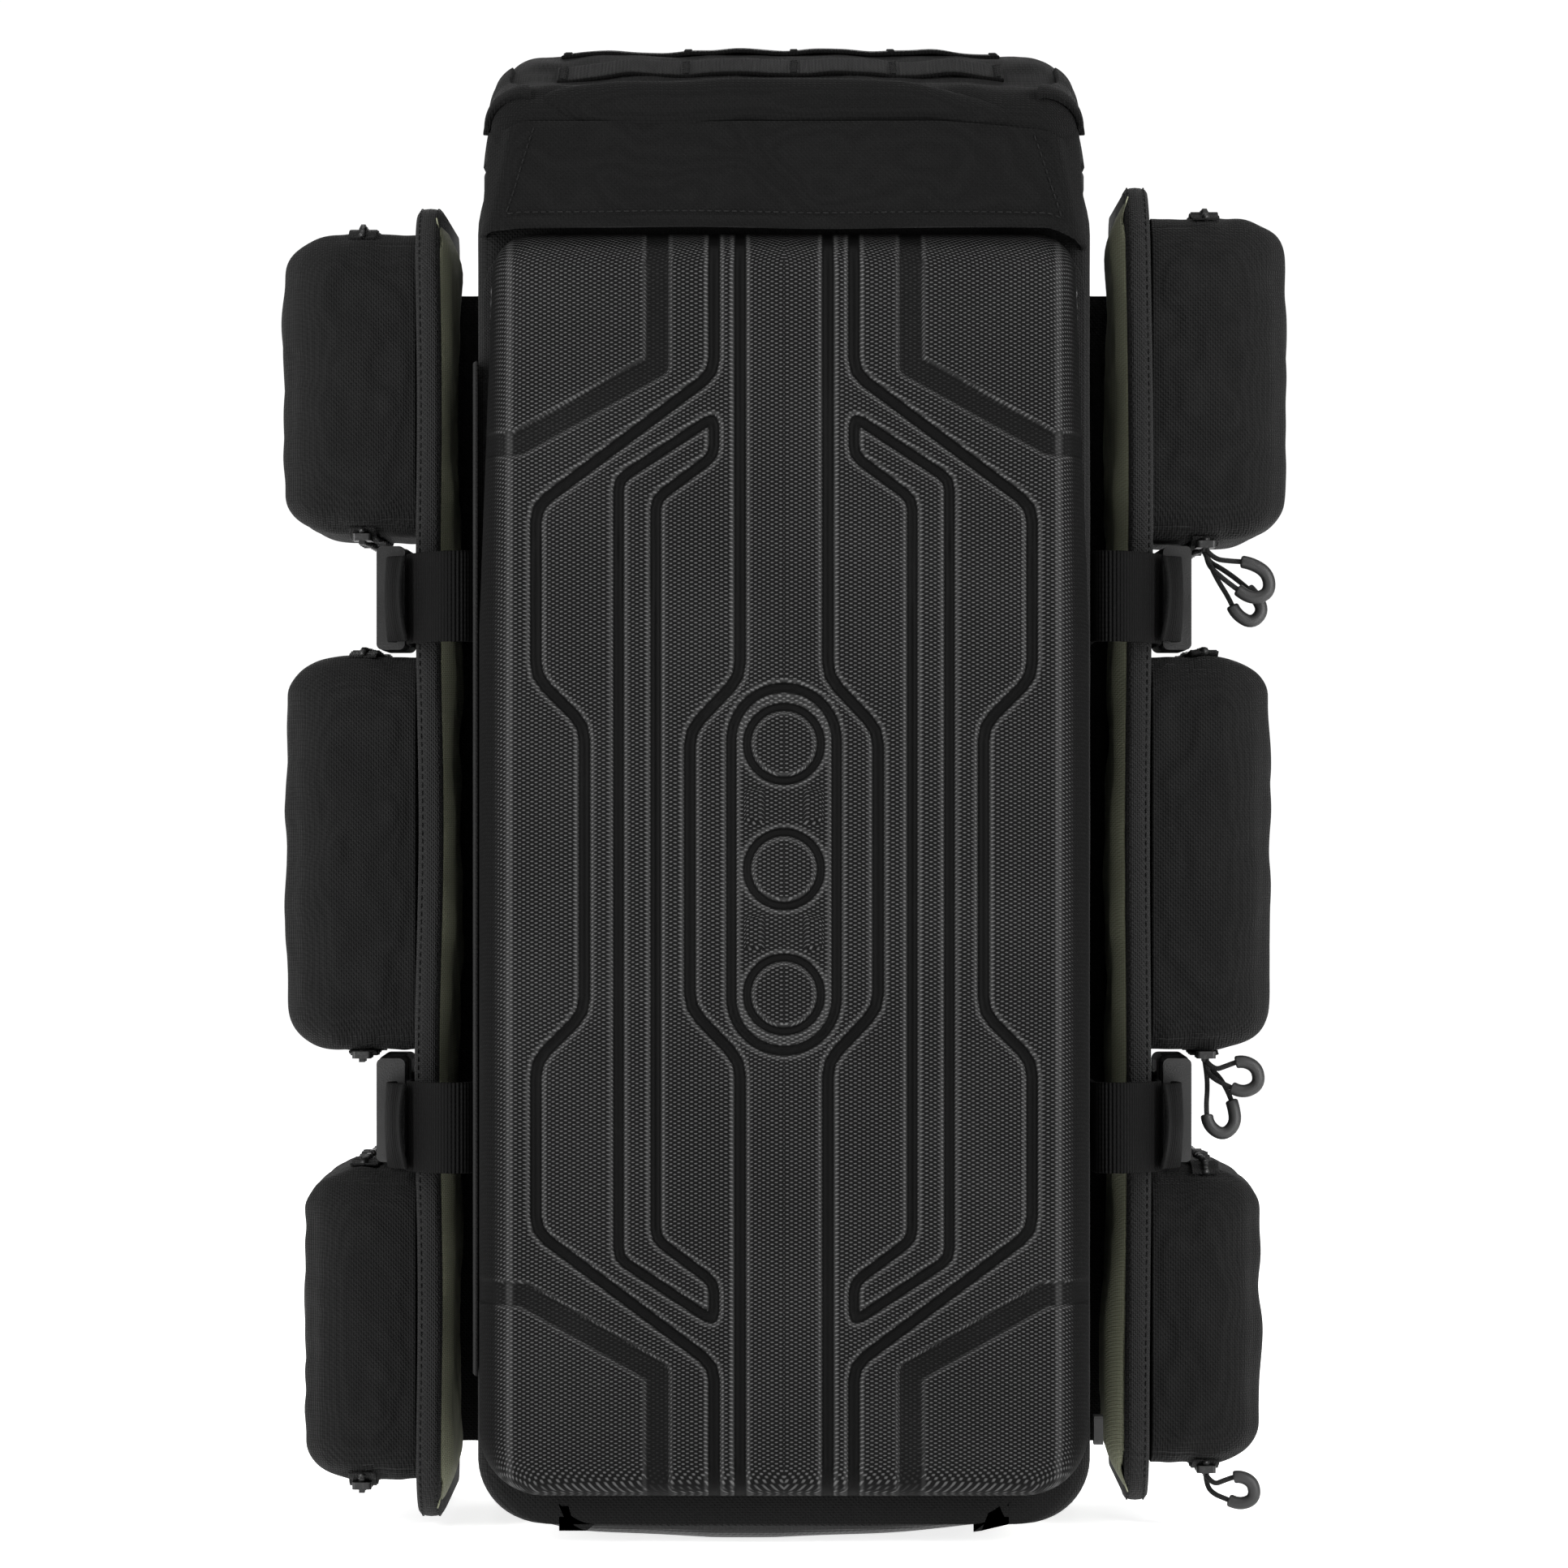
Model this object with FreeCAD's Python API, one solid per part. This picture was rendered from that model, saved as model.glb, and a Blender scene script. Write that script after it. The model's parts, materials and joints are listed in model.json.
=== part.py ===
import FreeCAD
import Part
import math
import os

V = FreeCAD.Vector

# ---------------------------------------------------------------------------
# A tackle backpack: a fabric body with a moulded front shell, a hinged lid,
# two padded side wings that carry three zipped pouches each, and a harness.
# Millimetres.  +Z is up, the front faces -Y, the floor is Z = 0, and X = 0 is
# the plane midway between the two wings.
# ---------------------------------------------------------------------------

# Fabric body
BODY_HALF = 128.0          # half width, outside
BODY_FRONT = -100.0
BODY_REAR = 92.0
BODY_BOTTOM = 8.0
BODY_TOP = 575.0
BODY_WALL = 3.5
BACK_WALL = 12.0           # back wall with the sleeve of the frame sheet in it
SLEEVE_FRONT = 84.0
SLEEVE_REAR = 89.5
SLEEVE_HALF = 116.0
BODY_CORNER = 12.0         # rounding of the body's rear corners
BODY_FOOT_CORNER = 24.0    # rounding of its lower corners, seen from the front
MOUTH_CORNER = 18.0
MOUTH_HALF = 110.0         # opening behind the front shell
MOUTH_BOTTOM = 34.0
MOUTH_TOP = 530.0
SHELF_Z = 252.0
SHELF_THICK = 6.0
BASE_HALF = 104.0          # coated panel under the floor
BASE_FRONT = -92.0
BASE_REAR = 88.0
BASE_CORNER = 24.0
FRAME_FRONT = 87.1         # plastic frame sheet
FRAME_REAR = 89.1
FRAME_HALF = 112.0
FRAME_CORNER = 20.0
STAY_CENTRE = 55.0         # aluminium stays in front of the sheet
STAY_HALF = 10.0
STAY_FRONT = 84.4
STAY_REAR = 86.8

# Moulded front shell
SHELL_FRONT = -130.0
SHELL_REAR = -102.0
SHELL_BOTTOM = 22.0
SHELL_TOP = 543.0
SHELL_HALF = 126.0
SHELL_HALF_TOP = 120.0
SHELL_WALL = 3.0
SHELL_FOOT_CORNER = 27.0
SHELL_TOP_CORNER = 16.0
SHELL_EDGE = 12.0          # rounding of the front edge
GROOVE_WIDE = 5.0
GROOVE_DEEP = 1.6

# Lid
LID_HALF = 124.0
LID_WALL = 4.0
SKIRT_BOTTOM = 545.0
LID_SIDE_BOTTOM = 577.5
LID_LINING_LIFT = -6.0     # the lining lies this far under the outer face
LID_TOP_LINE = [(-127, 545), (-129, 588), (-126, 600), (-116, 606), (-98, 607), (-90, 610), (-60, 621),
                (-38, 627), (-5, 631.6), (20, 635), (50, 637), (78, 630), (91, 612), (93, 578)]
LID_ROW_CENTRES = [(-75.0, 615.5, 20.14), (-21.5, 629.3, 7.93)]
LID_ROW_WIDE = 25.0
LID_ROW_ENDS = (-95.0, 92.0)
WEBBING_THICK = 1.6

# Side wings, measured outward from the middle plane
WING_IN = 145.0
WING_OUT = 155.0
WING_FRONT = -58.0
WING_REAR = 93.0
WING_HINGE = 143.5
LINING_IN = 143.2
LINING_OUT = 144.8
WING_CORNER = 26.0         # rounding of the wing's front corners
GUSSET_FRONT = 76.0        # fabric that closes the gap between body and wing
GUSSET_REAR = 79.0
GUSSET_Z = (24.0, 533.0)
WINGS = {"left": (4.0, 561.0), "right": (11.0, 570.0)}

# Pouches: lowest and highest level of each one
POUCH_FRONT = -50.0
POUCH_REAR = 85.0
POUCH_WALL = 2.5
ZIP_LINE = 179.0
POUCHES = {
    "left_top": (423.0, 550.0, 212.0),
    "left_middle": (203.0, 370.0, 211.0),
    "left_bottom": (20.0, 152.0, 203.0),
    "right_top": (420.0, 557.0, 213.0),
    "right_middle": (203.0, 370.0, 206.0),
    "right_bottom": (27.0, 152.0, 202.0),
}
SLIDER_Y = -46.0
SLIDER_LONG = 9.0
SLIDER_IN = 175.4
SLIDER_OUT = 183.4
SLIDER_THICK = 4.6

# Compression straps and their side-release buckles
STRAP_WIDE = 38.0
STRAP_THICK = 2.0
STRAPS = {"upper": (394.0, 395.0), "lower": (172.0, 177.5)}     # strap level, buckle level
BUCKLE_HALF = 22.0
BUCKLE_IN = 160.0
BUCKLE_OUT = 174.0
BUCKLE_WALL = 2.6
STRAP_FRONT_LINE = [(129.8, -52), (129.8, -80), (133, -88.5), (139.5, -90), (147, -84), (155.5, -71),
                    (158.4, -62), (158.4, -30)]
STRAP_REAR_LINE = [(156.6, 62), (156.6, 25), (158.4, 17), (166, 17)]

# Harness
PAD_REAR = 108.0
PADS = [(18, 110, 196, 492), (-110, -18, 196, 492), (-108, 108, 46, 180)]      # x and z limits
PAD_CORNER = 16.0
PAD_EDGE = 5.0
LOCK_HALF = 18.0
LOCK_Y = (124.0, 132.0)
LOCK_Z = (239.0, 260.0)
CHEST_Z = (420.0, 440.0)
CHEST_X = (20.0, 92.0)
CHEST_CLIP_HALF = 19.5
HARNESS_X = (42.0, 102.0)
HARNESS_LINE = [(99, 518), (118, 512), (131, 488), (136, 440), (137, 360), (134, 300), (128, 262)]
HARNESS_THICK = 12.0
HARNESS_WEB_LINE = [(128, 238), (124, 190), (117, 110), (110.8, 48), (101, 35), (94.2, 22)]
HARNESS_WEB_WIDE = 25.0
HAUL_LINE = [(-64, 93.3), (-46, 93.3), (-36, 108), (-18, 118), (18, 118), (36, 108), (46, 93.3), (64, 93.3)]
HAUL_Z = (536.0, 561.0)

# Zip pulls: a cord loop with a moulded grip over its far end
CORD_DIA = 2.2
GRIP_DIA = 5.4
PULLS = {
    "right_top_a": [(179.4, -43.2, 415.4), (182.5, -47, 411.5), (188.5, -50, 410.5), (197, -51.5, 410),
                    (205, -51.5, 405.5), (206, -51, 397), (198.5, -50.5, 394), (190, -50, 400),
                    (183.5, -46.5, 405.5), (179.8, -41, 410), (179.4, -40.2, 415.4)],
    "right_top_b": [(179.4, -33.4, 415.4), (181.5, -36.5, 409.5), (184.5, -41, 402.5), (189, -44, 395),
                    (192, -44.5, 388), (199, -44.5, 384), (204, -44, 390), (199, -43, 397.5),
                    (192, -41, 403.5), (186, -37, 408), (181, -31.5, 411), (179.4, -30.4, 415.4)],
    "right_middle_a": [(179.4, -43.2, 198.3), (182.5, -47, 194.5), (187.5, -49.5, 196.5), (194, -50.5, 199),
                       (200.5, -50.5, 196), (201.5, -50, 188.5), (195, -49.5, 185), (188, -48.5, 188),
                       (183, -44.5, 190.5), (179.8, -40.6, 193.5), (179.4, -40.2, 198.3)],
    "right_middle_b": [(179.4, -33.4, 198.3), (180.2, -36, 192.5), (180.2, -39.5, 186), (179.4, -43, 179),
                       (180, -44.5, 171), (186.5, -44.5, 166.5), (192, -44, 171.5), (191, -43, 179.5),
                       (188, -41, 187), (184.5, -36.5, 192.5), (180.4, -31.8, 195), (179.4, -30.4, 198.3)],
    "right_bottom_a": [(179.4, -43.2, 22.3), (182, -47, 18.5), (187, -49.5, 21), (193, -50.5, 23),
                       (199, -50.5, 20), (199.5, -50, 13), (193.5, -49.5, 10.5), (187, -48.5, 13),
                       (182.5, -44.5, 14.5), (179.8, -40.6, 17.5), (179.4, -40.2, 22.3)],
}
# First run under the grip, and the run after its last one
GRIP_RUNS = {"right_top_a": (2, 7), "right_top_b": (3, 8), "right_middle_a": (2, 7),
             "right_middle_b": (3, 7), "right_bottom_a": (2, 7)}


def box(x0, x1, y0, y1, z0, z1):
    """A box from its lowest to its highest corner."""
    return Part.makeBox(x1 - x0, y1 - y0, z1 - z0, V(x0, y0, z0))


def prism_yz(points, x0, x1):
    """A polygon drawn in Y and Z, pulled along X."""
    ring = [V(x0, y, z) for y, z in points]
    face = Part.Face(Part.makePolygon(ring + [ring[0]]))
    return face.extrude(V(x1 - x0, 0, 0))


def prism_xy(points, z0, z1):
    """A polygon drawn in X and Y, pulled along Z."""
    ring = [V(x, y, z0) for x, y in points]
    face = Part.Face(Part.makePolygon(ring + [ring[0]]))
    return face.extrude(V(0, 0, z1 - z0))


def prism_xz(points, y0, y1):
    """A polygon drawn in X and Z, pulled along Y."""
    ring = [V(x, y0, z) for x, z in points]
    face = Part.Face(Part.makePolygon(ring + [ring[0]]))
    return face.extrude(V(0, y1 - y0, 0))


def edges_along(shape, axis, keep=lambda middle: True):
    """The straight edges of a shape that run along one axis."""
    found = []
    for edge in shape.Edges:
        step = edge.Vertexes[-1].Point - edge.Vertexes[0].Point
        if step.Length < 1e-6:
            continue
        if abs(step.dot(axis)) / step.Length > 0.999 and keep(edge.CenterOfMass):
            found.append(edge)
    return found


def band(points, thick, lift=0.0):
    """The outline of a strip of even thickness beside a line, shifted sideways by lift."""
    sides = []
    for offset in (lift + thick / 2, lift - thick / 2):
        side = []
        for i, point in enumerate(points):
            before = points[max(i - 1, 0)]
            after = points[min(i + 1, len(points) - 1)]
            first = unit(point, after) if i == 0 else unit(before, point)
            second = unit(before, point) if i == len(points) - 1 else unit(point, after)
            normal = (-(first[1] + second[1]), first[0] + second[0])
            size = math.hypot(*normal)
            normal = (normal[0] / size, normal[1] / size)
            stretch = offset / (normal[0] * -first[1] + normal[1] * first[0])
            side.append((point[0] + normal[0] * stretch, point[1] + normal[1] * stretch))
        sides.append(side)
    return sides[0] + sides[1][::-1]


def unit(a, b):
    """The direction from one point of a line to the next."""
    size = math.hypot(b[0] - a[0], b[1] - a[1])
    return ((b[0] - a[0]) / size, (b[1] - a[1]) / size)


def mirrored(shape, side):
    """The same shape on the left or on the right of the body."""
    return shape if side == "right" else shape.mirror(V(0, 0, 0), V(1, 0, 0))


def save(name, *solids):
    """Write one node."""
    shape = solids[0] if len(solids) == 1 else Part.makeCompound(list(solids))
    if not shape.isValid() or not shape.Solids:
        print("CHECK", name)
    shape.exportStep("parts/" + name + ".step")


# --- Body, base, frame and back --------------------------------------------

def main_body():
    outer = box(-BODY_HALF, BODY_HALF, BODY_FRONT, BODY_REAR, BODY_BOTTOM, BODY_TOP)
    outer = outer.makeFillet(BODY_CORNER, edges_along(outer, V(0, 0, 1), lambda p: p.y > 0))
    rounded = box(-BODY_HALF, BODY_HALF, BODY_FRONT - 1, BODY_REAR + 1, BODY_BOTTOM, BODY_TOP + 1)
    foot = edges_along(rounded, V(0, 1, 0), lambda p: p.z < BODY_TOP / 2)
    outer = outer.common(rounded.makeFillet(BODY_FOOT_CORNER, foot))
    inside = BODY_HALF - BODY_WALL
    room = box(-inside, inside, BODY_FRONT + BODY_WALL, BODY_REAR - BACK_WALL,
               BODY_BOTTOM + BODY_WALL, BODY_TOP + 1)
    foot = edges_along(room, V(0, 1, 0), lambda p: p.z < BODY_TOP / 2)
    room = room.makeFillet(BODY_FOOT_CORNER - BODY_WALL, foot)
    mouth = box(-MOUTH_HALF, MOUTH_HALF, BODY_FRONT - 1, BODY_FRONT + BODY_WALL + 1, MOUTH_BOTTOM, MOUTH_TOP)
    mouth = mouth.makeFillet(MOUTH_CORNER, edges_along(mouth, V(0, 1, 0)))
    sleeve = box(-SLEEVE_HALF, SLEEVE_HALF, SLEEVE_FRONT, SLEEVE_REAR, BODY_BOTTOM + 10, BODY_TOP + 1)
    return outer.cut(room).cut(mouth).cut(sleeve)


def base_panel():
    panel = box(-BASE_HALF, BASE_HALF, BASE_FRONT, BASE_REAR, 0, BODY_BOTTOM)
    return panel.makeFillet(BASE_CORNER, edges_along(panel, V(0, 0, 1)))


def frame_sheet():
    sheet = box(-FRAME_HALF, FRAME_HALF, FRAME_FRONT, FRAME_REAR, BODY_BOTTOM + 12, BODY_TOP - 8)
    return sheet.makeFillet(FRAME_CORNER, edges_along(sheet, V(0, 1, 0)))


def frame_stays():
    stays = []
    for middle in (-STAY_CENTRE, STAY_CENTRE):
        stay = box(middle - STAY_HALF, middle + STAY_HALF, STAY_FRONT, STAY_REAR,
                   BODY_BOTTOM + 12, BODY_TOP - 16)
        stays.append(stay.makeFillet(STAY_HALF - 1, edges_along(stay, V(0, 1, 0))))
    return stays


def divider_shelf():
    inside = BODY_HALF - BODY_WALL - 0.8
    shelf = box(-inside, inside, BODY_FRONT + BODY_WALL + 1, BODY_REAR - BACK_WALL - 1, SHELF_Z,
                SHELF_Z + SHELF_THICK)
    return shelf.makeFillet(6.0, edges_along(shelf, V(0, 0, 1)))


def back_pads():
    pads = []
    for x0, x1, z0, z1 in PADS:
        pad = box(x0, x1, BODY_REAR + 0.2, PAD_REAR, z0, z1)
        pad = pad.makeFillet(PAD_CORNER, edges_along(pad, V(0, 1, 0)))
        rear = [e for e in pad.Edges if e.BoundBox.YMin > PAD_REAR - 0.1]
        pads.append(pad.makeFillet(PAD_EDGE, rear))
    return pads


# --- Harness -----------------------------------------------------------------

def shoulder_strap(side):
    strap = prism_yz(band(HARNESS_LINE, HARNESS_THICK), *HARNESS_X)
    return mirrored(strap, side)


def harness_middle():
    return (HARNESS_X[0] + HARNESS_X[1]) / 2


def strap_webbing():
    middle = harness_middle()
    half = HARNESS_WEB_WIDE / 2
    strip = prism_yz(band(HARNESS_WEB_LINE, STRAP_THICK), middle - half, middle + half)
    return [mirrored(strip, side) for side in ("left", "right")]


def ladder_locks():
    middle = harness_middle()
    lock = box(middle - LOCK_HALF, middle + LOCK_HALF, *LOCK_Y, *LOCK_Z)
    lock = lock.makeFillet(2.5, edges_along(lock, V(1, 0, 0)))
    for low, high in ((242.5, 246.5), (251.5, 255.5)):
        lock = lock.cut(box(middle - 13.5, middle + 13.5, 120, 136, low, high))
    return [mirrored(lock, side) for side in ("left", "right")]


def sternum_strap():
    outside = 136.6 + HARNESS_THICK / 2 + 0.4
    pieces = []
    for side in ("left", "right"):
        strip = box(*CHEST_X, outside, outside + WEBBING_THICK, *CHEST_Z)
        pieces.append(mirrored(strip, side))
    low, high = CHEST_Z
    buckle = box(-CHEST_CLIP_HALF, CHEST_CLIP_HALF, outside - 2.5, outside + 7.5, low - 4, high + 4)
    buckle = buckle.makeFillet(3.0, edges_along(buckle, V(1, 0, 0)))
    pieces.append(buckle)
    return pieces


def haul_handle():
    return prism_xy(band(HAUL_LINE, STRAP_THICK), *HAUL_Z)


# --- Lid -----------------------------------------------------------------------

def lid_cover():
    cover = prism_yz(band(LID_TOP_LINE, LID_WALL, -LID_WALL / 2), -LID_HALF, LID_HALF)
    rear_y = LID_TOP_LINE[-1][0]
    for x0, x1 in ((-LID_HALF, -LID_HALF + LID_WALL), (LID_HALF - LID_WALL, LID_HALF)):
        outline = LID_TOP_LINE + [(rear_y, LID_SIDE_BOTTOM), (BODY_FRONT - 2.5, LID_SIDE_BOTTOM),
                                  (BODY_FRONT - 2.5, SKIRT_BOTTOM)]
        outline = [p for i, p in enumerate(outline) if i == 0 or p != outline[i - 1]]
        cover = cover.fuse(prism_yz(outline, x0, x1))
    return cover.removeSplitter()


def lid_lining():
    inner = LID_TOP_LINE[5:10] + [(72, 631.5)]
    half = LID_HALF - LID_WALL - 1.0
    return prism_yz(band(inner, 1.4, LID_LINING_LIFT), -half, half)


def lid_webbing():
    strips = []
    for y, z, slope in LID_ROW_CENTRES:
        strip = box(LID_ROW_ENDS[0], LID_ROW_ENDS[1], -LID_ROW_WIDE / 2, LID_ROW_WIDE / 2, 0.15,
                    0.15 + WEBBING_THICK)
        strip.rotate(V(0, 0, 0), V(1, 0, 0), slope)
        strip.translate(V(0, y, z))
        strips.append(strip)
    return strips


# --- Front shell ----------------------------------------------------------------

def shell_block(inset, front, rear):
    """The shell's outline, a little narrower at the top, drawn inward by inset."""
    bottom = SHELL_BOTTOM + inset
    top = SHELL_TOP - inset
    wide = SHELL_HALF - inset
    narrow = SHELL_HALF_TOP - inset
    outline = [(-wide, bottom), (wide, bottom), (wide, 380), (narrow, top), (-narrow, top), (-wide, 380)]
    block = prism_xz(outline, front, rear)
    low = edges_along(block, V(0, 1, 0), lambda p: p.z < 100)
    block = block.makeFillet(SHELL_FOOT_CORNER - inset, low)
    high = edges_along(block, V(0, 1, 0), lambda p: p.z > 500)
    return block.makeFillet(SHELL_TOP_CORNER - inset, high)


def groove(points, wide, deep, closed=False):
    """A channel along a line on the shell's front face."""
    line = points + [points[0]] if closed else points
    tool = None
    for a, b in zip(line, line[1:]):
        outline = band([a, b], wide)
        piece = prism_xz(outline, SHELL_FRONT - 1, SHELL_FRONT + deep)
        stub = Part.makeCylinder(wide / 2, deep + 1, V(b[0], SHELL_FRONT - 1, b[1]), V(0, 1, 0))
        piece = piece.fuse(stub)
        tool = piece if tool is None else tool.fuse(piece)
    return tool


def shell_pattern():
    """The raised panels are bounded by these channels, given right of the middle and about its level."""
    middle = 281.0
    outer = [(28.7, 262), (28.7, 204), (102, 149), (102, 79), (82, 59), (82, -59), (102, -79), (102, -149),
             (28.7, -204), (28.7, -259)]
    centre = [(18, 262), (18, 79), (38.7, 57), (38.7, -57), (18, -79), (18, -259)]
    bracket = [(28.7, 186), (68, 160), (68, -160), (28.7, -186), (28.7, -170), (52.7, -152), (52.7, 152),
               (28.7, 170)]
    tools = []
    for sign in (-1, 1):
        place = lambda line: [(sign * x, middle + z) for x, z in line]
        tools.append(groove(place(outer), GROOVE_WIDE, GROOVE_DEEP))
        tools.append(groove(place(centre), GROOVE_WIDE, GROOVE_DEEP))
        tools.append(groove(place(bracket), GROOVE_WIDE, GROOVE_DEEP, closed=True))
    return tools


def front_shell():
    shell = shell_block(0.0, SHELL_FRONT, SHELL_REAR)
    front_edges = [e for e in shell.Edges if e.BoundBox.YMax < SHELL_FRONT + 0.01]
    shell = shell.makeFillet(SHELL_EDGE, front_edges)
    room = shell_block(SHELL_WALL, SHELL_FRONT + SHELL_WALL, SHELL_REAR + 1)
    front_edges = [e for e in room.Edges if e.BoundBox.YMax < SHELL_FRONT + SHELL_WALL + 0.01]
    room = room.makeFillet(SHELL_EDGE - SHELL_WALL, front_edges)
    shell = shell.cut(room)
    for tool in shell_pattern():
        shell = shell.cut(tool)
    return shell


def front_zip():
    ring = shell_block(1.0, SHELL_REAR + 0.4, BODY_FRONT)
    return ring.cut(shell_block(9.0, SHELL_REAR - 1, BODY_FRONT + 1))


def front_zip_slider():
    body = box(128.5, 132.3, -107, -98, 42, 54)
    return body.makeFillet(1.2, edges_along(body, V(1, 0, 0)))


# --- Wings -----------------------------------------------------------------------

def wing_panel(side):
    low, high = WINGS[side]
    panel = box(WING_IN, WING_OUT, WING_FRONT, WING_REAR, low, high)
    panel = panel.makeFillet(WING_CORNER, edges_along(panel, V(1, 0, 0), lambda p: p.y < 0))
    panel = panel.makeFillet(3.5, edges_along(panel, V(0, 0, 1), lambda p: p.y < 0))
    return mirrored(panel, side)


def wing_lining(side):
    low, high = WINGS[side]
    lining = box(LINING_IN, LINING_OUT, WING_FRONT + 5, WING_REAR - 1, low + 5, high - 5)
    lining = lining.makeFillet(WING_CORNER - 4, edges_along(lining, V(1, 0, 0), lambda p: p.y < 0))
    return mirrored(lining, side)


def wing_gussets():
    strip = box(BODY_HALF + 0.3, LINING_IN - 0.6, GUSSET_FRONT, GUSSET_REAR, *GUSSET_Z)
    return [mirrored(strip, side) for side in ("left", "right")]


# --- Pouches -----------------------------------------------------------------------

def pouch_block(x0, x1, y0, y1, z0, z1, edge):
    """A block whose four outer edges are rounded."""
    block = box(x0, x1, y0, y1, z0, z1)
    outer = [e for e in block.Edges if e.BoundBox.XMin > x1 - 0.01]
    return block.makeFillet(edge, outer)


def pouch_base(name):
    low, high, _ = POUCHES[name]
    wall = POUCH_WALL
    base = box(WING_OUT + 0.2, ZIP_LINE, POUCH_FRONT + 3.5, POUCH_REAR, low, high)
    base = base.cut(box(WING_OUT - 1, ZIP_LINE + 1, POUCH_FRONT, POUCH_REAR - wall, low + wall, high - wall))
    return mirrored(base, name.split("_")[0])


def pouch_cover(name):
    low, high, out = POUCHES[name]
    wall = POUCH_WALL
    cover = pouch_block(ZIP_LINE + 0.5, out, POUCH_FRONT, POUCH_REAR, low, high, 12.0)
    cover = cover.cut(pouch_block(ZIP_LINE, out - wall, POUCH_FRONT + wall, POUCH_REAR - wall, low + wall,
                                  high - wall, 12.0 - wall))
    front = box(WING_OUT + 2.2, ZIP_LINE + 1, POUCH_FRONT, POUCH_FRONT + wall, low + 1, high - 1)
    return mirrored(cover.fuse(front).removeSplitter(), name.split("_")[0])


def zip_sliders(name):
    """Two sliders nose to nose, each with a bail on its outer face."""
    low = POUCHES[name][0]
    top = low - 0.6
    sliders = []
    for y in (SLIDER_Y, SLIDER_Y + SLIDER_LONG + 0.6):
        body = box(SLIDER_IN, SLIDER_OUT, y, y + SLIDER_LONG, top - SLIDER_THICK + 1.6, top)
        body = body.makeFillet(1.4, edges_along(body, V(0, 0, 1)))
        bail = box(178.2, 180.6, y + 2, y + 7, top - SLIDER_THICK, top - SLIDER_THICK + 2)
        sliders.append(mirrored(body.fuse(bail), name.split("_")[0]))
    return sliders


# --- Compression straps --------------------------------------------------------------

def compression_strap(side, level):
    strap_z, buckle_z = STRAPS[level]
    half = STRAP_WIDE / 2
    pieces = [prism_xy(band(STRAP_FRONT_LINE, STRAP_THICK), strap_z - half, strap_z + half)]
    pieces.append(prism_xy(band(STRAP_REAR_LINE, WEBBING_THICK), buckle_z - half, buckle_z + half))
    return [mirrored(piece, side) for piece in pieces]


def buckle_socket(side, level):
    z = STRAPS[level][1]
    half = BUCKLE_HALF
    socket = box(BUCKLE_IN, BUCKLE_OUT, -16, 22, z - half, z + half)
    socket = socket.makeFillet(3.0, edges_along(socket, V(0, 1, 0)))
    wall = BUCKLE_WALL
    socket = socket.cut(box(BUCKLE_IN + wall, BUCKLE_OUT - wall, -17, 12, z - half + wall, z + half - wall))
    socket = socket.cut(box(BUCKLE_IN - 1, BUCKLE_OUT + 1, 14.5, 19.5, z - 20, z + 20))
    for z0, z1 in ((z - half - 1, z - half + 4), (z + half - 4, z + half + 1)):
        socket = socket.cut(box(BUCKLE_IN + wall, BUCKLE_OUT - wall, -8, 5, z0, z1))
    return mirrored(socket, side)


def buckle_plug(side, level):
    z = STRAPS[level][1]
    half = BUCKLE_HALF
    plug = box(BUCKLE_IN + 1, BUCKLE_OUT - 1, -46, -17, z - half, z + half)
    plug = plug.makeFillet(2.5, edges_along(plug, V(0, 1, 0)))
    for y in (-42, -31):
        plug = plug.cut(box(BUCKLE_IN, BUCKLE_OUT, y, y + 5.5, z - 19.4, z + 19.4))
    guide = box(BUCKLE_IN + 4, BUCKLE_OUT - 4, -18, 6, z - 3, z + 3)
    plug = plug.fuse(guide)
    for sign in (-1, 1):
        z0, z1 = sorted((z + sign * 11, z + sign * 18.6))
        prong = box(BUCKLE_IN + 4, BUCKLE_OUT - 4, -18, 8, z0, z1)
        plug = plug.fuse(prong)
    return mirrored(plug.removeSplitter(), side)


# --- Zip pulls -------------------------------------------------------------------------

def route_edges(points):
    """Straight runs joined by tangent arcs, and the arcs' radii."""
    route = [V(*p) for p in points]
    edges = []
    radii = []
    start = route[0]
    for before, corner, after in zip(route, route[1:], route[2:]):
        back = before - corner
        ahead = after - corner
        turn = math.pi - back.getAngle(ahead)
        reach = 0.45 * min(back.Length, ahead.Length)
        radius = reach / math.tan(turn / 2)
        back.normalize()
        ahead.normalize()
        first = corner + back * reach
        last = corner + ahead * reach
        bisector = back + ahead
        bisector.normalize()
        middle = corner + bisector * (radius / math.cos(turn / 2) - radius)
        edges.append(Part.LineSegment(start, first).toShape())
        edges.append(Part.Arc(first, middle, last).toShape())
        radii.append(radius)
        start = last
    edges.append(Part.LineSegment(start, route[-1]).toShape())
    return edges, radii


def tube(edges, diameter):
    """A round tube along a path."""
    path = Part.Wire(edges)
    first = edges[0]
    start = first.Vertexes[0].Point
    along = first.Vertexes[1].Point - start
    ring = Part.Wire(Part.makeCircle(diameter / 2, start, along))
    return path.makePipeShell([ring], True, True), path.Length


def pull_cord(name):
    edges, radii = route_edges(PULLS[name])
    cord, length = tube(edges, CORD_DIA)
    ideal = math.pi * (CORD_DIA / 2) ** 2 * length
    print(name, "length %.1f" % length, "volume ratio %.3f" % (cord.Volume / ideal),
          "radii", " ".join("%.1f" % r for r in radii))
    return cord


def pull_grip(name):
    """The grip follows the far end of its cord and leaves room for it."""
    edges, _ = route_edges(PULLS[name])
    first, last = GRIP_RUNS[name]
    stretch = edges[2 * first:2 * last - 1]
    grip, _ = tube(stretch, GRIP_DIA)
    hole, _ = tube(edges, CORD_DIA + 0.3)
    return grip.cut(hole)


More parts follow.
